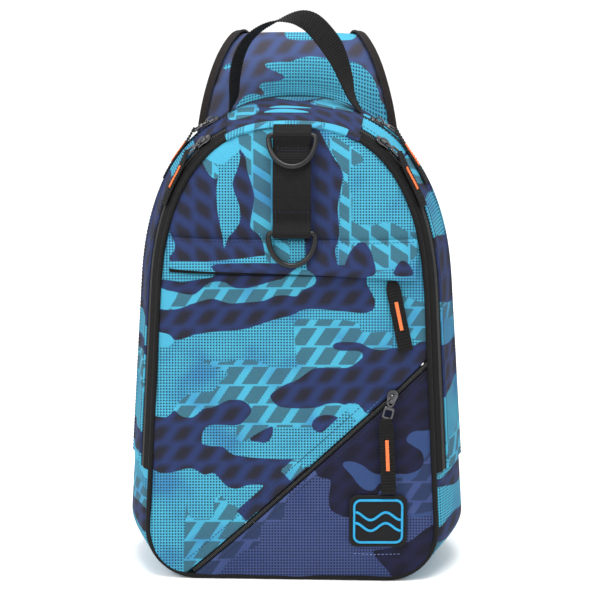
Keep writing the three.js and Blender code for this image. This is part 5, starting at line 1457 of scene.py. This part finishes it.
for side, word, where, span, u0 in side_pulls:
    start = u0 - (PULLER_LENGTH + PULL_GAP) / WAY_LENGTH
    t0 = (span(u0)[0] + span(u0)[1]) / 2
    out0 = skin_normal(side, u0, t0)
    along0 = skin(side, u0 - 0.01, t0) - skin(side, u0, t0)
    along0 = unit(along0 - out0 * (along0 @ out0))
    head = skin(side, u0, t0, SLIDER_LIFT + PULL_LIFT) + along0 * (PULLER_LENGTH + PULL_GAP)
    ts = (span(start)[0] + span(start)[1]) / 2
    miss = head - skin(side, start, ts, SLIDER_LIFT + PULL_LIFT)
    at = [head - along0 * 0.0033 - out0 * 0.0002, head - along0 * 0.0012 + out0 * 0.0010]
    across = [np.cross(out0, along0)] * 2
    out = [out0] * 2
    for s in np.linspace(0.08, 1, 9):
        u = start - s * SIDE_PULL_LENGTH / WAY_LENGTH
        t = (span(u)[0] + span(u)[1]) / 2 + DRIFT[where, side] * s / depth_at(u)
        settle = max(1 - s / 0.4, 0) ** 1.5
        here = skin(side, u, t, PULL_REST + (SLIDER_LIFT + PULL_LIFT - PULL_REST) * settle) + miss * (1 - s) ** 3
        normal = skin_normal(side, u, t)
        at.append(here)
        across.append(unit(np.cross(normal, skin(side, u - 0.01, t, PULL_REST) - skin(side, u, t, PULL_REST))))
        out.append(normal)
    pull(f"{where}_pull_webbing_{word}", at, across, out, f"{where}_pull_{word}")


def front_pull(name, start, end, lifts, node):
    (x0, z0), (x1, z1) = start, end
    heading = unit(np.array([x1 - x0, 0, z1 - z0]))
    at, across, out = [], [], []
    for s, lift in lifts:
        x, z = x0 + (x1 - x0) * s, z0 + (z1 - z0) * s
        normal = front_normal(x, z)
        at.append(front(x, z, lift))
        out.append(normal)
        across.append(unit(np.cross(normal, heading)))
    pull(name, at, across, out, node)


front_pull("pocket_pull_webbing", (0.0785, 0.2490), (0.0905, 0.1920),
           [(0, 0.0016), (0.15, 0.0024), (0.4, 0.0028), (0.7, 0.0026), (1, 0.0022)], "pocket_pull")
slant_from = SLANT_SLIDER + np.array([SLANT_LEAN, -PULLER_LENGTH - PULL_GAP - 0.0009])
front_pull("slant_pull_webbing", slant_from, slant_from + np.array([0.0028, -0.060]),
           [(-0.045, 0.0040), (-0.01, 0.0056), (0.12, 0.0044), (0.4, 0.0042), (0.7, 0.0042), (0.85, 0.0044),
            (1, 0.0050)], "slant_pull")

# The webbing down the front: wide black webbing sewn into the top seam. It goes over the upper ring's bar, hangs a
# little clear of the front, and turns round the lower ring's bar, where it is sewn to itself.
RING_WEB_HALF = 0.015
RING_WEB_THICK = 0.0016
RING_WIRE = 0.0022
UPPER_BAR_Z = 0.3626
LOWER_BAR_Z = 0.287
EYE = RING_WIRE + 0.0004 + RING_WEB_THICK / 2
BAR_LIFT = EYE + RING_WEB_THICK / 2 + 0.0009
WEB_SLACK = 0.0065
upper_bar, lower_bar = (front(0, z, BAR_LIFT) for z in (UPPER_BAR_Z, LOWER_BAR_Z))


def web_lift(z):
    share = np.clip((UPPER_BAR_Z - z) / (UPPER_BAR_Z - LOWER_BAR_Z), 0, 1)
    return 0.0006 + WEB_SLACK * np.sin(math.pi * share)


def strip(name, path, half, node, count):
    """A band that runs in one upright plane, level across."""
    line = through(path, count)
    along = unit(np.gradient(line, axis=0))
    out = np.stack([0 * along[:, 0], along[:, 2], -along[:, 1]], -1)
    across = np.broadcast_to([1.0, 0, 0], line.shape)
    made = ribbon(name, line, across, out, half, RING_WEB_THICK, 0.0021, 0.00022)
    return dress(made, "bag", "black_webbing", WEBBING, node)


def round_bar(bar, angles):
    return [bar + EYE * np.array([0, -math.cos(math.radians(a)), math.sin(math.radians(a))]) for a in angles]


path = [front(0, 0.3695, 0.0012)] + round_bar(upper_bar, (75, 40, 5, -30))
path += [front(0, z, web_lift(z) + RING_WEB_THICK / 2)
         for z in np.linspace(UPPER_BAR_Z - 0.010, LOWER_BAR_Z + 0.009, 8)]
path += round_bar(lower_bar, (25, -10, -45, -80, -115, -150))
path += [front(0, LOWER_BAR_Z + z, 0.0014) for z in (0.008, 0.014, 0.020)]
strip("front_webbing", path, RING_WEB_HALF, "ring_webbing", 240)
path = [front(0, UPPER_BAR_Z + z, lift) for z, lift in ((0.004, 0.0010), (-0.003, 0.0008), (-0.011, 0.0014))]
strip("front_webbing_turn", path, RING_WEB_HALF - 0.0004, "ring_webbing", 60)

# The D rings: round steel wire bent to a straight bar and a bow, in a black satin finish. They hang from the
# webbing and swing up.
RING_HALF = 0.0183
RING_DROP = 0.0255
RING_CORNER = 0.003
SATIN = plastic("black_satin_metal", (0.014, 0.014, 0.015), 0.33, 0.05, metallic=0.55)


def d_ring(name, bar, hang, body, node):
    flat = [(x, 0.0) for x in np.linspace(-1, 1, 14) * (RING_HALF - RING_CORNER)]
    turn = [(RING_HALF - RING_CORNER + RING_CORNER * math.sin(a), -RING_CORNER + RING_CORNER * math.cos(a))
            for a in np.linspace(0.12, 0.9, 6) * math.pi / 2]
    bow = [(RING_HALF * math.cos(a), -RING_CORNER - (RING_DROP - RING_CORNER) * math.sin(a))
           for a in np.linspace(0, math.pi, 44)]
    path = np.array(flat + turn + bow + [(-x, z) for x, z in turn[::-1]])
    centre = bar + np.stack([path[:, 0], 0 * path[:, 0], 0 * path[:, 0]], -1) - path[:, 1:2] * hang
    along = unit(np.roll(centre, -1, 0) - np.roll(centre, 1, 0))
    out = unit(np.array([0, hang[2], -hang[1]]))
    side = np.cross(along, out)
    angle = np.linspace(0, 2 * math.pi, 16, endpoint=False)
    rings = centre[:, None] + RING_WIRE * (np.cos(angle)[None, :, None] * side[:, None]
                                           + np.sin(angle)[None, :, None] * out)
    obj = tube(name, rings, closed=True, sharp=180)
    return dress(obj, body, "dark_metal", SATIN, node)


hang_z = UPPER_BAR_Z - RING_DROP * 0.96
upper_hang = unit(front(0, hang_z, web_lift(hang_z) + RING_WEB_THICK + RING_WIRE + 0.0024) - upper_bar)
flap_front = FLAP_LIFT_EDGE + FLAP_THICK + RING_WIRE + 0.0006
lower_hang = unit(front(0, LOWER_BAR_Z - RING_DROP * 0.96, flap_front) - lower_bar)
d_ring("upper_ring_wire", upper_bar, upper_hang, "upper_ring", "d_ring_upper")
d_ring("lower_ring_wire", lower_bar, lower_hang, "lower_ring", "d_ring_lower")

# The badge: a soft rubber patch moulded with a raised blue frame and two waves, sewn on near its corner.
BADGE_HALF_X = 0.0232
BADGE_HALF_Z = 0.0216
BADGE_AT = (0.0698, 0.0532)
BADGE_CORNER = 0.0064
RUBBER = plastic("black_rubber", (0.006, 0.006, 0.0065), 0.6, 0.3, specular=0.15)
BLUE = plastic("blue_rubber", (0.012, 0.25, 0.46), 0.45, 0.15, specular=0.3)


def badge_outline(inset, steps=8):
    points = []
    corner = BADGE_CORNER * (1 - inset / BADGE_HALF_X)
    for sx, sz, start in ((1, -1, -90), (1, 1, 0), (-1, 1, 90), (-1, -1, 180)):
        for k in range(steps + 1):
            a = math.radians(start + 90 * k / steps)
            points.append((BADGE_AT[0] + sx * (BADGE_HALF_X - inset - corner) + corner * math.cos(a),
                           BADGE_AT[1] + sz * (BADGE_HALF_Z - inset - corner) + corner * math.sin(a)))
    return np.array(points)


rings = []
for inset, lift in ((0.0006, 0.9), (0.0, 1.3), (0.0, 2.5), (0.0002, 2.8), (0.0007, 3.0), (0.0016, 3.0), (0.0020, 2.8),
                    (0.0024, 2.7), (0.008, 2.7), (0.014, 2.7)):
    outline = badge_outline(inset)
    rings.append(front(outline[:, 0], outline[:, 1], lift / MM))
dress(tube("badge_patch", np.array(rings)), "bag", "black_rubber", RUBBER, "badge")

relief = Shape()


def raised_line(flat, closed, half=0.00095, low=0.0026, high=0.0038):
    flat = np.asarray(flat)
    along = np.roll(flat, -1, 0) - np.roll(flat, 1, 0) if closed else np.gradient(flat, axis=0)
    along = unit(along)
    n = np.column_stack([-along[:, 1], along[:, 0]])
    rings = []
    for c, h in ((-1, 0), (-1, 0.6), (-0.75, 0.92), (-0.4, 1), (0.4, 1), (0.75, 0.92), (1, 0.6), (1, 0)):
        p = flat + n * c * half
        rings.append(front(p[:, 0], p[:, 1], low + (high - low) * h))
    relief.add(np.array(rings).transpose(1, 0, 2), closed)


raised_line(badge_outline(0.0040), True)
for height in (-0.0045, 0.0045):
    s = np.linspace(-1, 1, 50)
    raised_line(np.column_stack([BADGE_AT[0] + s * 0.0182, BADGE_AT[1] + height + 0.0032 * np.sin(s * 1.5 * math.pi)]),
                False)
dress(relief.object("badge_lines"), "bag", "blue_rubber", BLUE, "badge_relief")

# The grab handle: one length of ribbed webbing with its ends in the top seam. It stands up in a crooked loop and
# shows its inner face on the left and its outer face on the right.
HANDLE_HALF = 0.010
HANDLE_THICK = 0.0018
HANDLE_Y = 0.022
HANDLE_HALF_SPAN = 0.0525
HANDLE_RISE = 0.0745
HANDLE = [
    (-1, 0, 0), (-0.943, 0.148, -16), (-0.924, 0.362, -22), (-0.867, 0.57, -24), (-0.743, 0.752, -22),
    (-0.552, 0.879, -18), (-0.324, 0.96, -10), (-0.0857, 1, 12), (0.105, 0.993, 36), (0.257, 0.946, 50),
    (0.4, 0.846, 56), (0.552, 0.705, 55), (0.676, 0.537, 42), (0.771, 0.356, 30), (0.867, 0.148, 12), (1, 0, 0),
]


def top_height(x, y):
    low, high = WAY_SIDE, 1.0
    for _ in range(24):
        middle = (low + high) / 2
        share = (y - front_edge_y(ring_point(FRONT, middle)[1])) / depth_at(middle)
        if skin_bare(1, middle, share)[0] > abs(x):
            low = middle
        else:
            high = middle
    share = (y - front_edge_y(ring_point(FRONT, low)[1])) / depth_at(low)
    return float(skin_bare(1, low, share)[2])


foot = max(top_height(HANDLE_HALF_SPAN - HANDLE_THICK, HANDLE_Y + dy) for dy in (-0.01, -0.0033, 0.0033, 0.01))
table = through([(x * HANDLE_HALF_SPAN, HANDLE_Y, foot + rise * HANDLE_RISE, math.radians(twist))
                 for x, rise, twist in HANDLE], 900)
line, twist = table[:, :3], table[:, 3:4]
along = unit(np.gradient(line, axis=0))
radial = np.stack([-along[:, 2], 0 * along[:, 0], along[:, 0]], -1)
across = np.array([0, -1.0, 0]) * np.cos(twist) - radial * np.sin(twist)
handle = ribbon("handle_webbing", line, across, np.cross(along, across), HANDLE_HALF, HANDLE_THICK, 0.0020, 0.0005)
dress(handle, "bag", "black_webbing", WEBBING, "handle")

# The shoulder strap: a padded band in the printed cloth over black air mesh. It is sewn into the top of the back,
# rises over the bag, folds and hangs down behind it. Its stuffing is blown up by a short cloth simulation.
STRAP_THICK = 0.011
STRAP_HALF_BASE = 0.083
STRAP_HALF_FOLD = 0.050
STRAP_HALF_END = 0.035
STRAP_REACH = 0.068
STRAP_RISE = 0.042
STRAP_FALL = 0.186
STRAP_CREST = 5
BINDING_REACH = 0.008
BINDING_THICK = 0.0012
STRAP = [
    (0.04, -0.15, 0, 1), (0.11, 0.0714, 0, 1), (0.14, 0.333, 0, 0.88), (0.221, 0.643, 0, 0.64), (0.353, 0.869, 0, 0.4),
    (0.529, 1, 0, 0.18), (0.721, 0.976, 0, 0.05), (0.882, 0.786, 0, 0), (0.971, 0.381, 0, 0),
    (1, 0, 0.043, 0), (0.971, 0, 0.269, 0), (0.897, 0, 0.516, 0), (0.809, 0, 0.763, 0), (0.706, 0, 1, 0),
]


def vectors(items, key):
    values = np.empty(len(items) * 3)
    items.foreach_get(key, values)
    return values.reshape(-1, 3)


def inflate(obj, voxel, pressure, cap):
    """Blows a closed form up like a stuffed cushion, no point further than the cap."""
    remesh = obj.modifiers.new("remesh", "REMESH")
    remesh.mode, remesh.voxel_size = "VOXEL", voxel
    ready = obj.evaluated_get(bpy.context.evaluated_depsgraph_get())
    mesh = bpy.data.meshes.new_from_object(ready)
    obj.modifiers.clear()
    obj.data = mesh
    start = end = vectors(mesh.vertices, "co")
    cloth = obj.modifiers.new("cloth", "CLOTH")
    cloth.settings.use_pressure = True
    cloth.settings.uniform_pressure_force = pressure
    cloth.settings.effector_weights.gravity = 0
    for number in range(1, 21):
        scene.frame_set(number)
    ready = obj.evaluated_get(bpy.context.evaluated_depsgraph_get())
    end = vectors(ready.data.vertices, "co")
    obj.modifiers.clear()
    scene.frame_set(1)
    move = end - start
    far = np.linalg.norm(move, axis=1, keepdims=True)
    mesh.vertices.foreach_set("co", (start + move * np.minimum(1, cap / np.maximum(far, 1e-9))).ravel())
    smooth = obj.modifiers.new("smooth", "SUBSURF")
    smooth.levels = smooth.render_levels = 1
    ready = obj.evaluated_get(bpy.context.evaluated_depsgraph_get())
    obj.data = bpy.data.meshes.new_from_object(ready)
    obj.modifiers.clear()
    obj.data.shade_smooth()
    return obj


def strap_line(count):
    """Centre, direction out, half width and droop of the strap at even places along it."""
    last = len(STRAP) - 1
    rows = []
    for i, (reach, rise, fall, wide) in enumerate(STRAP):
        half = STRAP_HALF_FOLD + (STRAP_HALF_BASE - STRAP_HALF_FOLD) * wide
        past = max(i - STRAP_CREST - 1, 0) / (last - STRAP_CREST - 1)
        half *= 1 + (STRAP_HALF_END / STRAP_HALF_FOLD - 1) * past
        droop = 1 - rise if i < STRAP_CREST else 0
        rows.append((0, BACK_Y + reach * STRAP_REACH, HEIGHT_BACK + rise * STRAP_RISE - fall * STRAP_FALL, half, droop))
    line = through(rows, count)
    along = unit(np.gradient(line[:, :3], axis=0))
    out = np.stack([0 * along[:, 0], -along[:, 2], along[:, 1]], -1)
    return line[:, :3], out, line[:, 3], line[:, 4]


def strap_points(line, share, lift):
    at, out, half, droop = line
    share, lift = np.broadcast_arrays(share, lift)
    x = half[:, None] * share
    drop = HEIGHT_BACK - arch_height_at(np.minimum(np.abs(x), HALF_WIDTH_BACK - 1e-4), BACK)
    place = at[:, None] + out[:, None] * lift[..., None]
    return np.stack([x, place[..., 1], place[..., 2] - drop * droop[:, None]], -1)


def strap_swell(share):
    return STRAP_THICK * 0.5 * (1 - 0.45 * np.abs(share) ** 3)


line = strap_line(90)
share = np.linspace(-1, 1, 44) * 0.978
swell = strap_swell(share) * 0.86
strap = slab("strap_padding", strap_points(line, share, swell), strap_points(line, share, -swell))
strap = inflate(strap, 0.004, 4, 0.0016)
STRAP_PATCHES = [
    ("dark", [(-130, -40), (130, -40), (130, 400), (-130, 400)]),
    ("dots", [(-27, 25.7), (-15.5, 27), (-6, 26.8), (2.4, 29.7), (13.2, 31), (27, 29.7), (47.6, 29.7), (55, 27),
              (61, 23.4), (65, 18), (68, 10.7), (72, -6), (-42.3, -6), (-42.3, 5.5), (-33.3, 4.3), (-29.8, 1.5),
              (-27, 2.6), (-28.6, 7.2), (-31, 10.7), (-27.4, 13), (-15.5, 13), (-10.2, 15.3), (-15.5, 18.7),
              (-22.6, 22)]),
    ("dots", [(-60, 27), (-53, 27), (-52, 29.5), (-60, 30)]),
    ("dots", [(-70, -12), (-53, -10), (-52, -3), (-60, 0), (-70, -3)]),
    ("dots", [(-8.5, 46), (10, 45), (20, 47), (20, 56), (-9, 56)]),
    ("plain", [(18, 46), (34, 45.5), (46, 48), (46, 56), (18, 56)]),
    ("checks", [(-40, 70), (0, 62), (30, 76), (20, 110), (-30, 120)]),
    ("dots", [(-30, 130), (30, 120), (34, 160), (0, 176), (-34, 160)]),
    ("plain", [(-20, 190), (14, 184), (30, 206), (0, 220)]),
]
fine = strap_line(1200)
at, out = fine[0], fine[1]


def nearest_on_strap(places):
    """The station nearest to each place, once the droop towards the sides is taken off."""
    drop = HEIGHT_BACK - arch_height_at(np.minimum(np.abs(places[:, 0]), HALF_WIDTH_BACK - 1e-4), BACK)
    raised = places[:, 1:].copy()
    found = np.zeros(len(places), int)
    for _ in range(3):
        for start in range(0, len(places), 4000):
            part = raised[start : start + 4000]
            found[start : start + 4000] = np.argmin(((part[:, None] - at[None, :, 1:]) ** 2).sum(-1), axis=1)
        raised[:, 1] = places[:, 2] + drop * fine[3][found]
    return found


places = vectors(strap.data.vertices, "co")
seen = (at[:, 2] - HEIGHT_BACK) * math.cos(ELEVATION) + (at[:, 1] - BACK_Y) * math.sin(ELEVATION)
crest = int(np.argmax(seen))
far = run_along(at)
rise = np.where(np.arange(len(at)) <= crest, seen, seen[crest] + (far - far[crest]))
spread = np.stack([places[:, 0], rise[nearest_on_strap(places)]], -1) * MM
set_fields(strap.data, print_fields(spread, STRAP_PATCHES))


def air_mesh():
    """Spacer fabric: a knitted black face with small round openings in staggered rows, painted darker inside as their
    shade.
    """
    material, t, shader = new_material("black_air_mesh", 0.8, specular=0.2)
    place = t.place()
    holes = t.group(DOTS, "Mask", place=place, pitch=3.4, size=0.55)
    shifted = t.node("ShaderNodeVectorMath", {0: place, 1: (1.7, 1.7, 0)}, operation="ADD")
    between = t.group(DOTS, "Mask", place=shifted, pitch=3.4, size=0.55)
    hole = t.math("MAXIMUM", holes, between)
    # The openings are painted near black, as the shade inside them.
    color = t.blend(hole, (0.016, 0.016, 0.017, 1), (0.003, 0.003, 0.003, 1))
    t.finish(shader, color, t.math("SUBTRACT", 1, hole), 0.8, 0.0008)
    return material


AIR_MESH = air_mesh()
# The strap's print is a lighter copy of the body's, most of all in its dark and charcoal colours: painted light, for
# the strap lit more from above.
STRAP_CAMO_PAINTED_LIGHT = printed_cloth(
    "strap_camo_cloth_painted_light",
    ground=(0.055, 0.300, 0.430, 1), deep=(0.045, 0.220, 0.360, 1), dot=(0.012, 0.045, 0.065, 1),
    check=(0.030, 0.078, 0.105, 1), dark=(0.042, 0.062, 0.150, 1), shade=(0.040, 0.038, 0.050, 1),
    plain=(0.055, 0.300, 0.430, 1),
)
dress(strap, "bag", "camo_cloth", STRAP_CAMO_PAINTED_LIGHT, "shoulder_strap")
strap.data.materials.append(AIR_MESH)
normals, centres = (vectors(strap.data.polygons, key) for key in ("normal", "center"))
inner = (normals * out[nearest_on_strap(centres)]).sum(1) < -0.3
strap.data.polygons.foreach_set("material_index", inner.astype(np.int32))

# The strap's bindings: ribbed tape folded over both long edges of the strap and stitched through.
fold = strap_line(260)
reach = BINDING_REACH / fold[2]
for side, word in ((-1, "left"), (1, "right")):
    outer = []
    for s, level in ((1.0, 0.0), (0.8, 0.02), (0.5, 0.05), (0.22, 0.10), (0.06, 0.18), (0.0, 0.5)):
        share = side * (1 - reach * s)
        tall = strap_swell(share) + 0.0009 - 0.0016 * level
        outer.append((share, tall + BINDING_THICK * 0.6 * min(s * 8, 1)))
    profile = outer + [(c, -d) for c, d in outer[::-1]]
    rings = np.stack([strap_points(fold, c[:, None], d[:, None])[:, 0] for c, d in profile], 1)
    core = np.stack([
        strap_points(fold, (side * (1 - reach * s))[:, None], (d + 0 * reach)[:, None])[:, 0]
        for s, d in [(1.0, 0.0040), (0.5, 0.0030), (0.12, 0.0012), (0.12, -0.0012), (0.5, -0.0030), (1.0, -0.0040)]
    ], 1)
    rings = np.concatenate([rings, core[:, ::-1]], axis=1)
    far = run_along(rings[:, 3]) * MM
    girth = np.concatenate([np.zeros((len(rings), 1)),
                            np.cumsum(np.linalg.norm(np.diff(rings, axis=1), axis=2), axis=1)], 1) * MM
    place = np.stack([far[:, None] + 0 * girth, girth, 0 * girth], -1)
    made = tube(f"strap_binding_tape_{word}", rings, fields={"place": place}, sharp=70)
    dress(made, "bag", "black_trim", BINDING, f"strap_binding_{word}")

# The back: a pad of foam under air mesh, sewn through along two lines so that it stands up in three pillows.
BACK_PAD = 0.011
BACK_PAD_RUN = 0.034
CHANNELS = (0.128, 0.246)
way = np.linspace(WAY_FOOT * 0.999, 1, 120)
bx, bz = ring_point(BACK, way)
nx, nz = ring_normal(way)
bx, bz = bx - nx * PANEL_INSET, np.maximum.accumulate(bz - nz * PANEL_INSET + np.arange(len(way)) * 1e-7)
even = np.linspace(-1, 1, 70)
pad_x = bx[:, None] * even
pad_z = bz[:, None] + 0 * pad_x


def pad_rise(x, z):
    side = np.maximum(half_width_at(z, BACK) - PANEL_INSET - np.abs(x), 0)
    top = np.maximum(arch_height_at(np.clip(np.abs(x), 0, HALF_WIDTH_BACK - 1e-4), BACK) - PANEL_INSET - z, 0)
    near = np.minimum(np.minimum(side, top), np.maximum(z - PANEL_INSET, 0)) / BACK_PAD_RUN
    return 0.001 + (BACK_PAD - 0.003) * np.sin(np.minimum(near, 1) * math.pi / 2)


face = np.stack([pad_x, BACK_Y + 0.001 + pad_rise(pad_x, pad_z), pad_z], -1)
lining = np.stack([pad_x, 0 * pad_x + BACK_Y - 0.0006, pad_z], -1)
pad = inflate(slab("back_padding", face, lining), 0.005, 4, 0.0016)
places = vectors(pad.data.vertices, "co")
groove = sum(np.exp(-((places[:, 2] - z) / 0.0045) ** 2) for z in CHANNELS)
depth = np.maximum(places[:, 1] - (BACK_Y + 0.0025), 0)
places[:, 1] = np.maximum(places[:, 1] - depth * np.minimum(groove, 1) * 0.85, BACK_Y - 0.001)
pad.data.vertices.foreach_set("co", places.ravel())
set_fields(pad.data, {"place": np.stack([places[:, 0], places[:, 2], 0 * places[:, 0]], -1) * MM})
dress(pad, "bag", "black_trim", AIR_MESH, "back_panel")

# The carry webbing behind the bag: from under the strap's end, through a side-release buckle, to a tab in the
# lower corner of the back. The buckle is closed and stays so.
WEBBING_HALF = 0.0125
WEBBING_THICK = 0.0018
WEBBING_TUCK = 0.016
BUCKLE_FROM = 0.065
BUCKLE_LENGTH = 0.048
TAB_LENGTH = 0.020
TAB_HALF = 0.017
TAB_THICK = 0.0029
rows = np.array([(0, BACK_Y + reach * STRAP_REACH, HEIGHT_BACK + rise * STRAP_RISE - fall * STRAP_FALL)
                 for reach, rise, fall, _ in STRAP])
behind = STRAP_THICK / 2 + WEBBING_THICK / 2 + 0.0006
ends = []
for before, here, after in ((rows[-3], rows[-2], rows[-1]), (rows[-2], rows[-1], rows[-1])):
    along = unit(after - before)
    ends.append(here + np.array([0, -along[2], along[1]]) * behind)
carry_head, carry_start = ends
carry_end = np.array([0.090, BACK_Y + BACK_PAD + WEBBING_THICK + 0.0003, 0.037])
carry_length = float(np.linalg.norm(carry_end - carry_start))
heading = unit(carry_end - carry_start)
level = np.array([-heading[2], 0, heading[0]])
strap_out = unit(np.cross(carry_start - carry_head, np.array([1.0, 0, 0])))
carry_across = unit(level - strap_out * (level @ strap_out))


def carry_point(far):
    if far < 0:
        return carry_start + (carry_head - carry_start) * (-far / np.linalg.norm(carry_start - carry_head))
    return carry_start + heading * far


def carry_ribbon(name, far, node):
    points = np.array([carry_point(f) for f in far])
    across = np.broadcast_to(carry_across, points.shape)
    direction = unit(np.gradient(points, axis=0))
    made = ribbon(name, points, across, np.cross(direction, across), WEBBING_HALF, WEBBING_THICK, 0.0022, 0.0001)
    return dress(made, "bag", "black_webbing", WEBBING, node)


carry_ribbon("carry_webbing_head", np.concatenate([np.linspace(-WEBBING_TUCK, 0, 12)[:-1],
                                                   np.linspace(0, BUCKLE_FROM + 0.004, 60)]), "carry_webbing_upper")
carry_ribbon("carry_webbing_foot", np.linspace(BUCKLE_FROM + BUCKLE_LENGTH - 0.004, carry_length, 80),
             "carry_webbing_lower")
tab_far = np.linspace(carry_length + 0.0003, carry_length + TAB_LENGTH, 40)
share = np.linspace(0, 1, 40)
tab_points = np.array([carry_point(f) for f in tab_far])
tab_points[:, 1] = carry_end[1] + (BACK_Y + BACK_PAD - WEBBING_THICK / 2 - carry_end[1]) * share
tab_across, tab_out = (np.broadcast_to(v, tab_points.shape) for v in (carry_across, [0, 1.0, 0]))
tab_half = WEBBING_HALF + (TAB_HALF - WEBBING_HALF) * share
tab = ribbon("anchor_tab_cloth", tab_points, tab_across, tab_out, tab_half, TAB_THICK)
dress(tab, "bag", "black_webbing", BINDING, "anchor_tab")

PLASTIC = plastic("black_plastic", (0.011, 0.011, 0.012), 0.38, 0.2)
shape = Shape()
for low, high in ((0.0022, 0.0045), (-0.0045, -0.0022)):
    shape.prism(mirrored([(0.4, 13.5), (2, 15.6), (6, 16.9), (14, 17), (21, 16), (23.4, 13.2)]), low, high, 0.0007)
shape.prism(mirrored([(0.3, 12.8), (1.2, 14.6), (6.5, 15.6), (7.0, 12.0)]), -0.0034, 0.0034, 0.0006)
shape.prism(mirrored([(7.5, 3.0), (23, 3.0)]), -0.0020, 0.0020, 0.0003)
for y in (-1, 1):
    prong = [(9.0, 9.6), (10.2, 13.8), (13.5, 16.6), (17.5, 16.4), (19.5, 13.6), (26.0, 12.6), (26.0, 9.4)]
    shape.prism([(x / MM, y * w / MM) for x, w in prong], -0.0020, 0.0020, 0.0005)
shape.prism(mirrored([(24.0, 13.6), (25.5, 14.2), (31.0, 14.0), (33.0, 13.8)]), -0.0040, 0.0040, 0.0010)
shape.hoop(rounded(0.0315, 0.0476, 0.0148, 0.0030), rounded(0.0350, 0.0440, 0.0120, 0.0010), -0.0026, 0.0026)
shape.prism(rounded(0.0384, 0.0408, 0.0130, 0.0010), -0.0016, 0.0022, 0.0004)
out = unit(np.cross(heading, carry_across))
buckle_at = basis(carry_point(BUCKLE_FROM), heading, out)
dress(shape.object("buckle_plastic", buckle_at), "bag", "black_plastic", PLASTIC, "buckle")

# The seams: rows of lock stitches in dark thread, each stitch a little sunk loop of its own, repeated along the
# line; a row in pale thread holds the badge's corner.
STITCH_PITCH = 0.0031
LIP_STITCH = 0.0022
LIP_TOP = 0.0019


def thread_material(name, tone):
    material, t, shader = new_material(name, 0.6, specular=0.3)
    where = t.node("ShaderNodeTexCoord", output="Object")
    strand = t.node("ShaderNodeTexNoise", {"Vector": where, "Scale": 2600.0, "Detail": 2.0})
    light = t.math("MULTIPLY_ADD", strand, 0.8, 0.6)
    t.finish(shader, t.scaled(tone, light))
    return material


THREAD = thread_material("dark_thread", (0.010, 0.014, 0.035))
PALE_THREAD = thread_material("pale_thread", (0.16, 0.22, 0.42))


def stitch_unit(length=0.0023, radius=0.00026):
    rings = []
    angle = np.linspace(0, 2 * math.pi, 6, endpoint=False)
    for share in np.linspace(-1, 1, 7):
        fat = radius * math.sqrt(max(1 - abs(share) ** 3, 0.05))
        lift = 0.00016 - 0.00030 * share**2
        rings.append([(share * length / 2, fat * math.cos(a), lift + fat * math.sin(a)) for a in angle])
    return tube("stitch", np.array(rings), sharp=180)


def sew(name, points, normals, material=THREAD, slot="black_trim", pitch=STITCH_PITCH):
    at, lengths, places, direction = lay_along(points, pitch)
    made = repeat(name, stitch_unit(), places, direction, unit(carry(normals, lengths, at)), material)
    return dress(made, "bag", slot, material)


def sew_front(name, corners, lift_at, material=THREAD, count=120):
    corners = np.asarray(corners, float) / MM
    far = run_along(corners)
    x, z = carry(corners, far, np.linspace(0, far[-1], count)).T
    return sew(name, front(x, z, lift_at(x, z)), front_normal(x, z), material)


def flap_top(x, z):
    down = (FLAP_TOP - z) / (FLAP_TOP - flap_foot(x))
    return flap_hang(x, z, down) + flap_roll(down)


sew_front("flap_seam_stitches", [(-96, 279.2), (-27.6, 279.3), (36.4, 279.1), (96.5, 278.6)], flap_top, count=200)
for name, off, start, end in (("slant_seam", 0.0115, 0.004, 0.246), ("pocket_edge", -0.0060, 0.010, 0.248)):
    ends = np.array([slant_place(along, off) for along in (start, end)]) * MM
    sew_front(f"{name}_stitches", ends, front_lift, count=260)
sew_front("badge_seam_stitches", [(50, 25), (66, 24), (88, 24.5)], front_lift, PALE_THREAD)


def on_webbing(x, z):
    return web_lift(z) + RING_WEB_THICK + 0.0001 + 0 * x


for name, corners in (
    ("box_stitches", [(-12.6, 293), (12.6, 293), (12.6, 304), (-12.6, 304), (-12.6, 293)]),
    ("upper_fold_stitches", [(-13, 353.2), (13, 353.2)]),
    ("upper_fold_stitches_second", [(-13, 351.2), (13, 351.2)]),
):
    sew_front(name, corners, on_webbing)
for side, word in ((-1, "left"), (1, "right")):
    inset = (LIP_OVER - LIP_STITCH) / depth_at(ways)
    for name, where in (("front", front_zip_span(ways)[1] - inset), ("rear", rear_zip_span(ways)[0] + inset)):
        sew(f"{name}_gusset_stitches_{word}", skin(side, ways, where, LIP_TOP), skin_normal(side, ways, where))
    share = side * (1 - BINDING_REACH * 0.84 / fold[2])
    points = strap_points(fold, share[:, None], strap_swell(share)[:, None] + 0.0016)[:, 0]
    sew(f"binding_stitches_{word}", points, fold[1])

bpy.context.view_layer.update()
low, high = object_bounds()
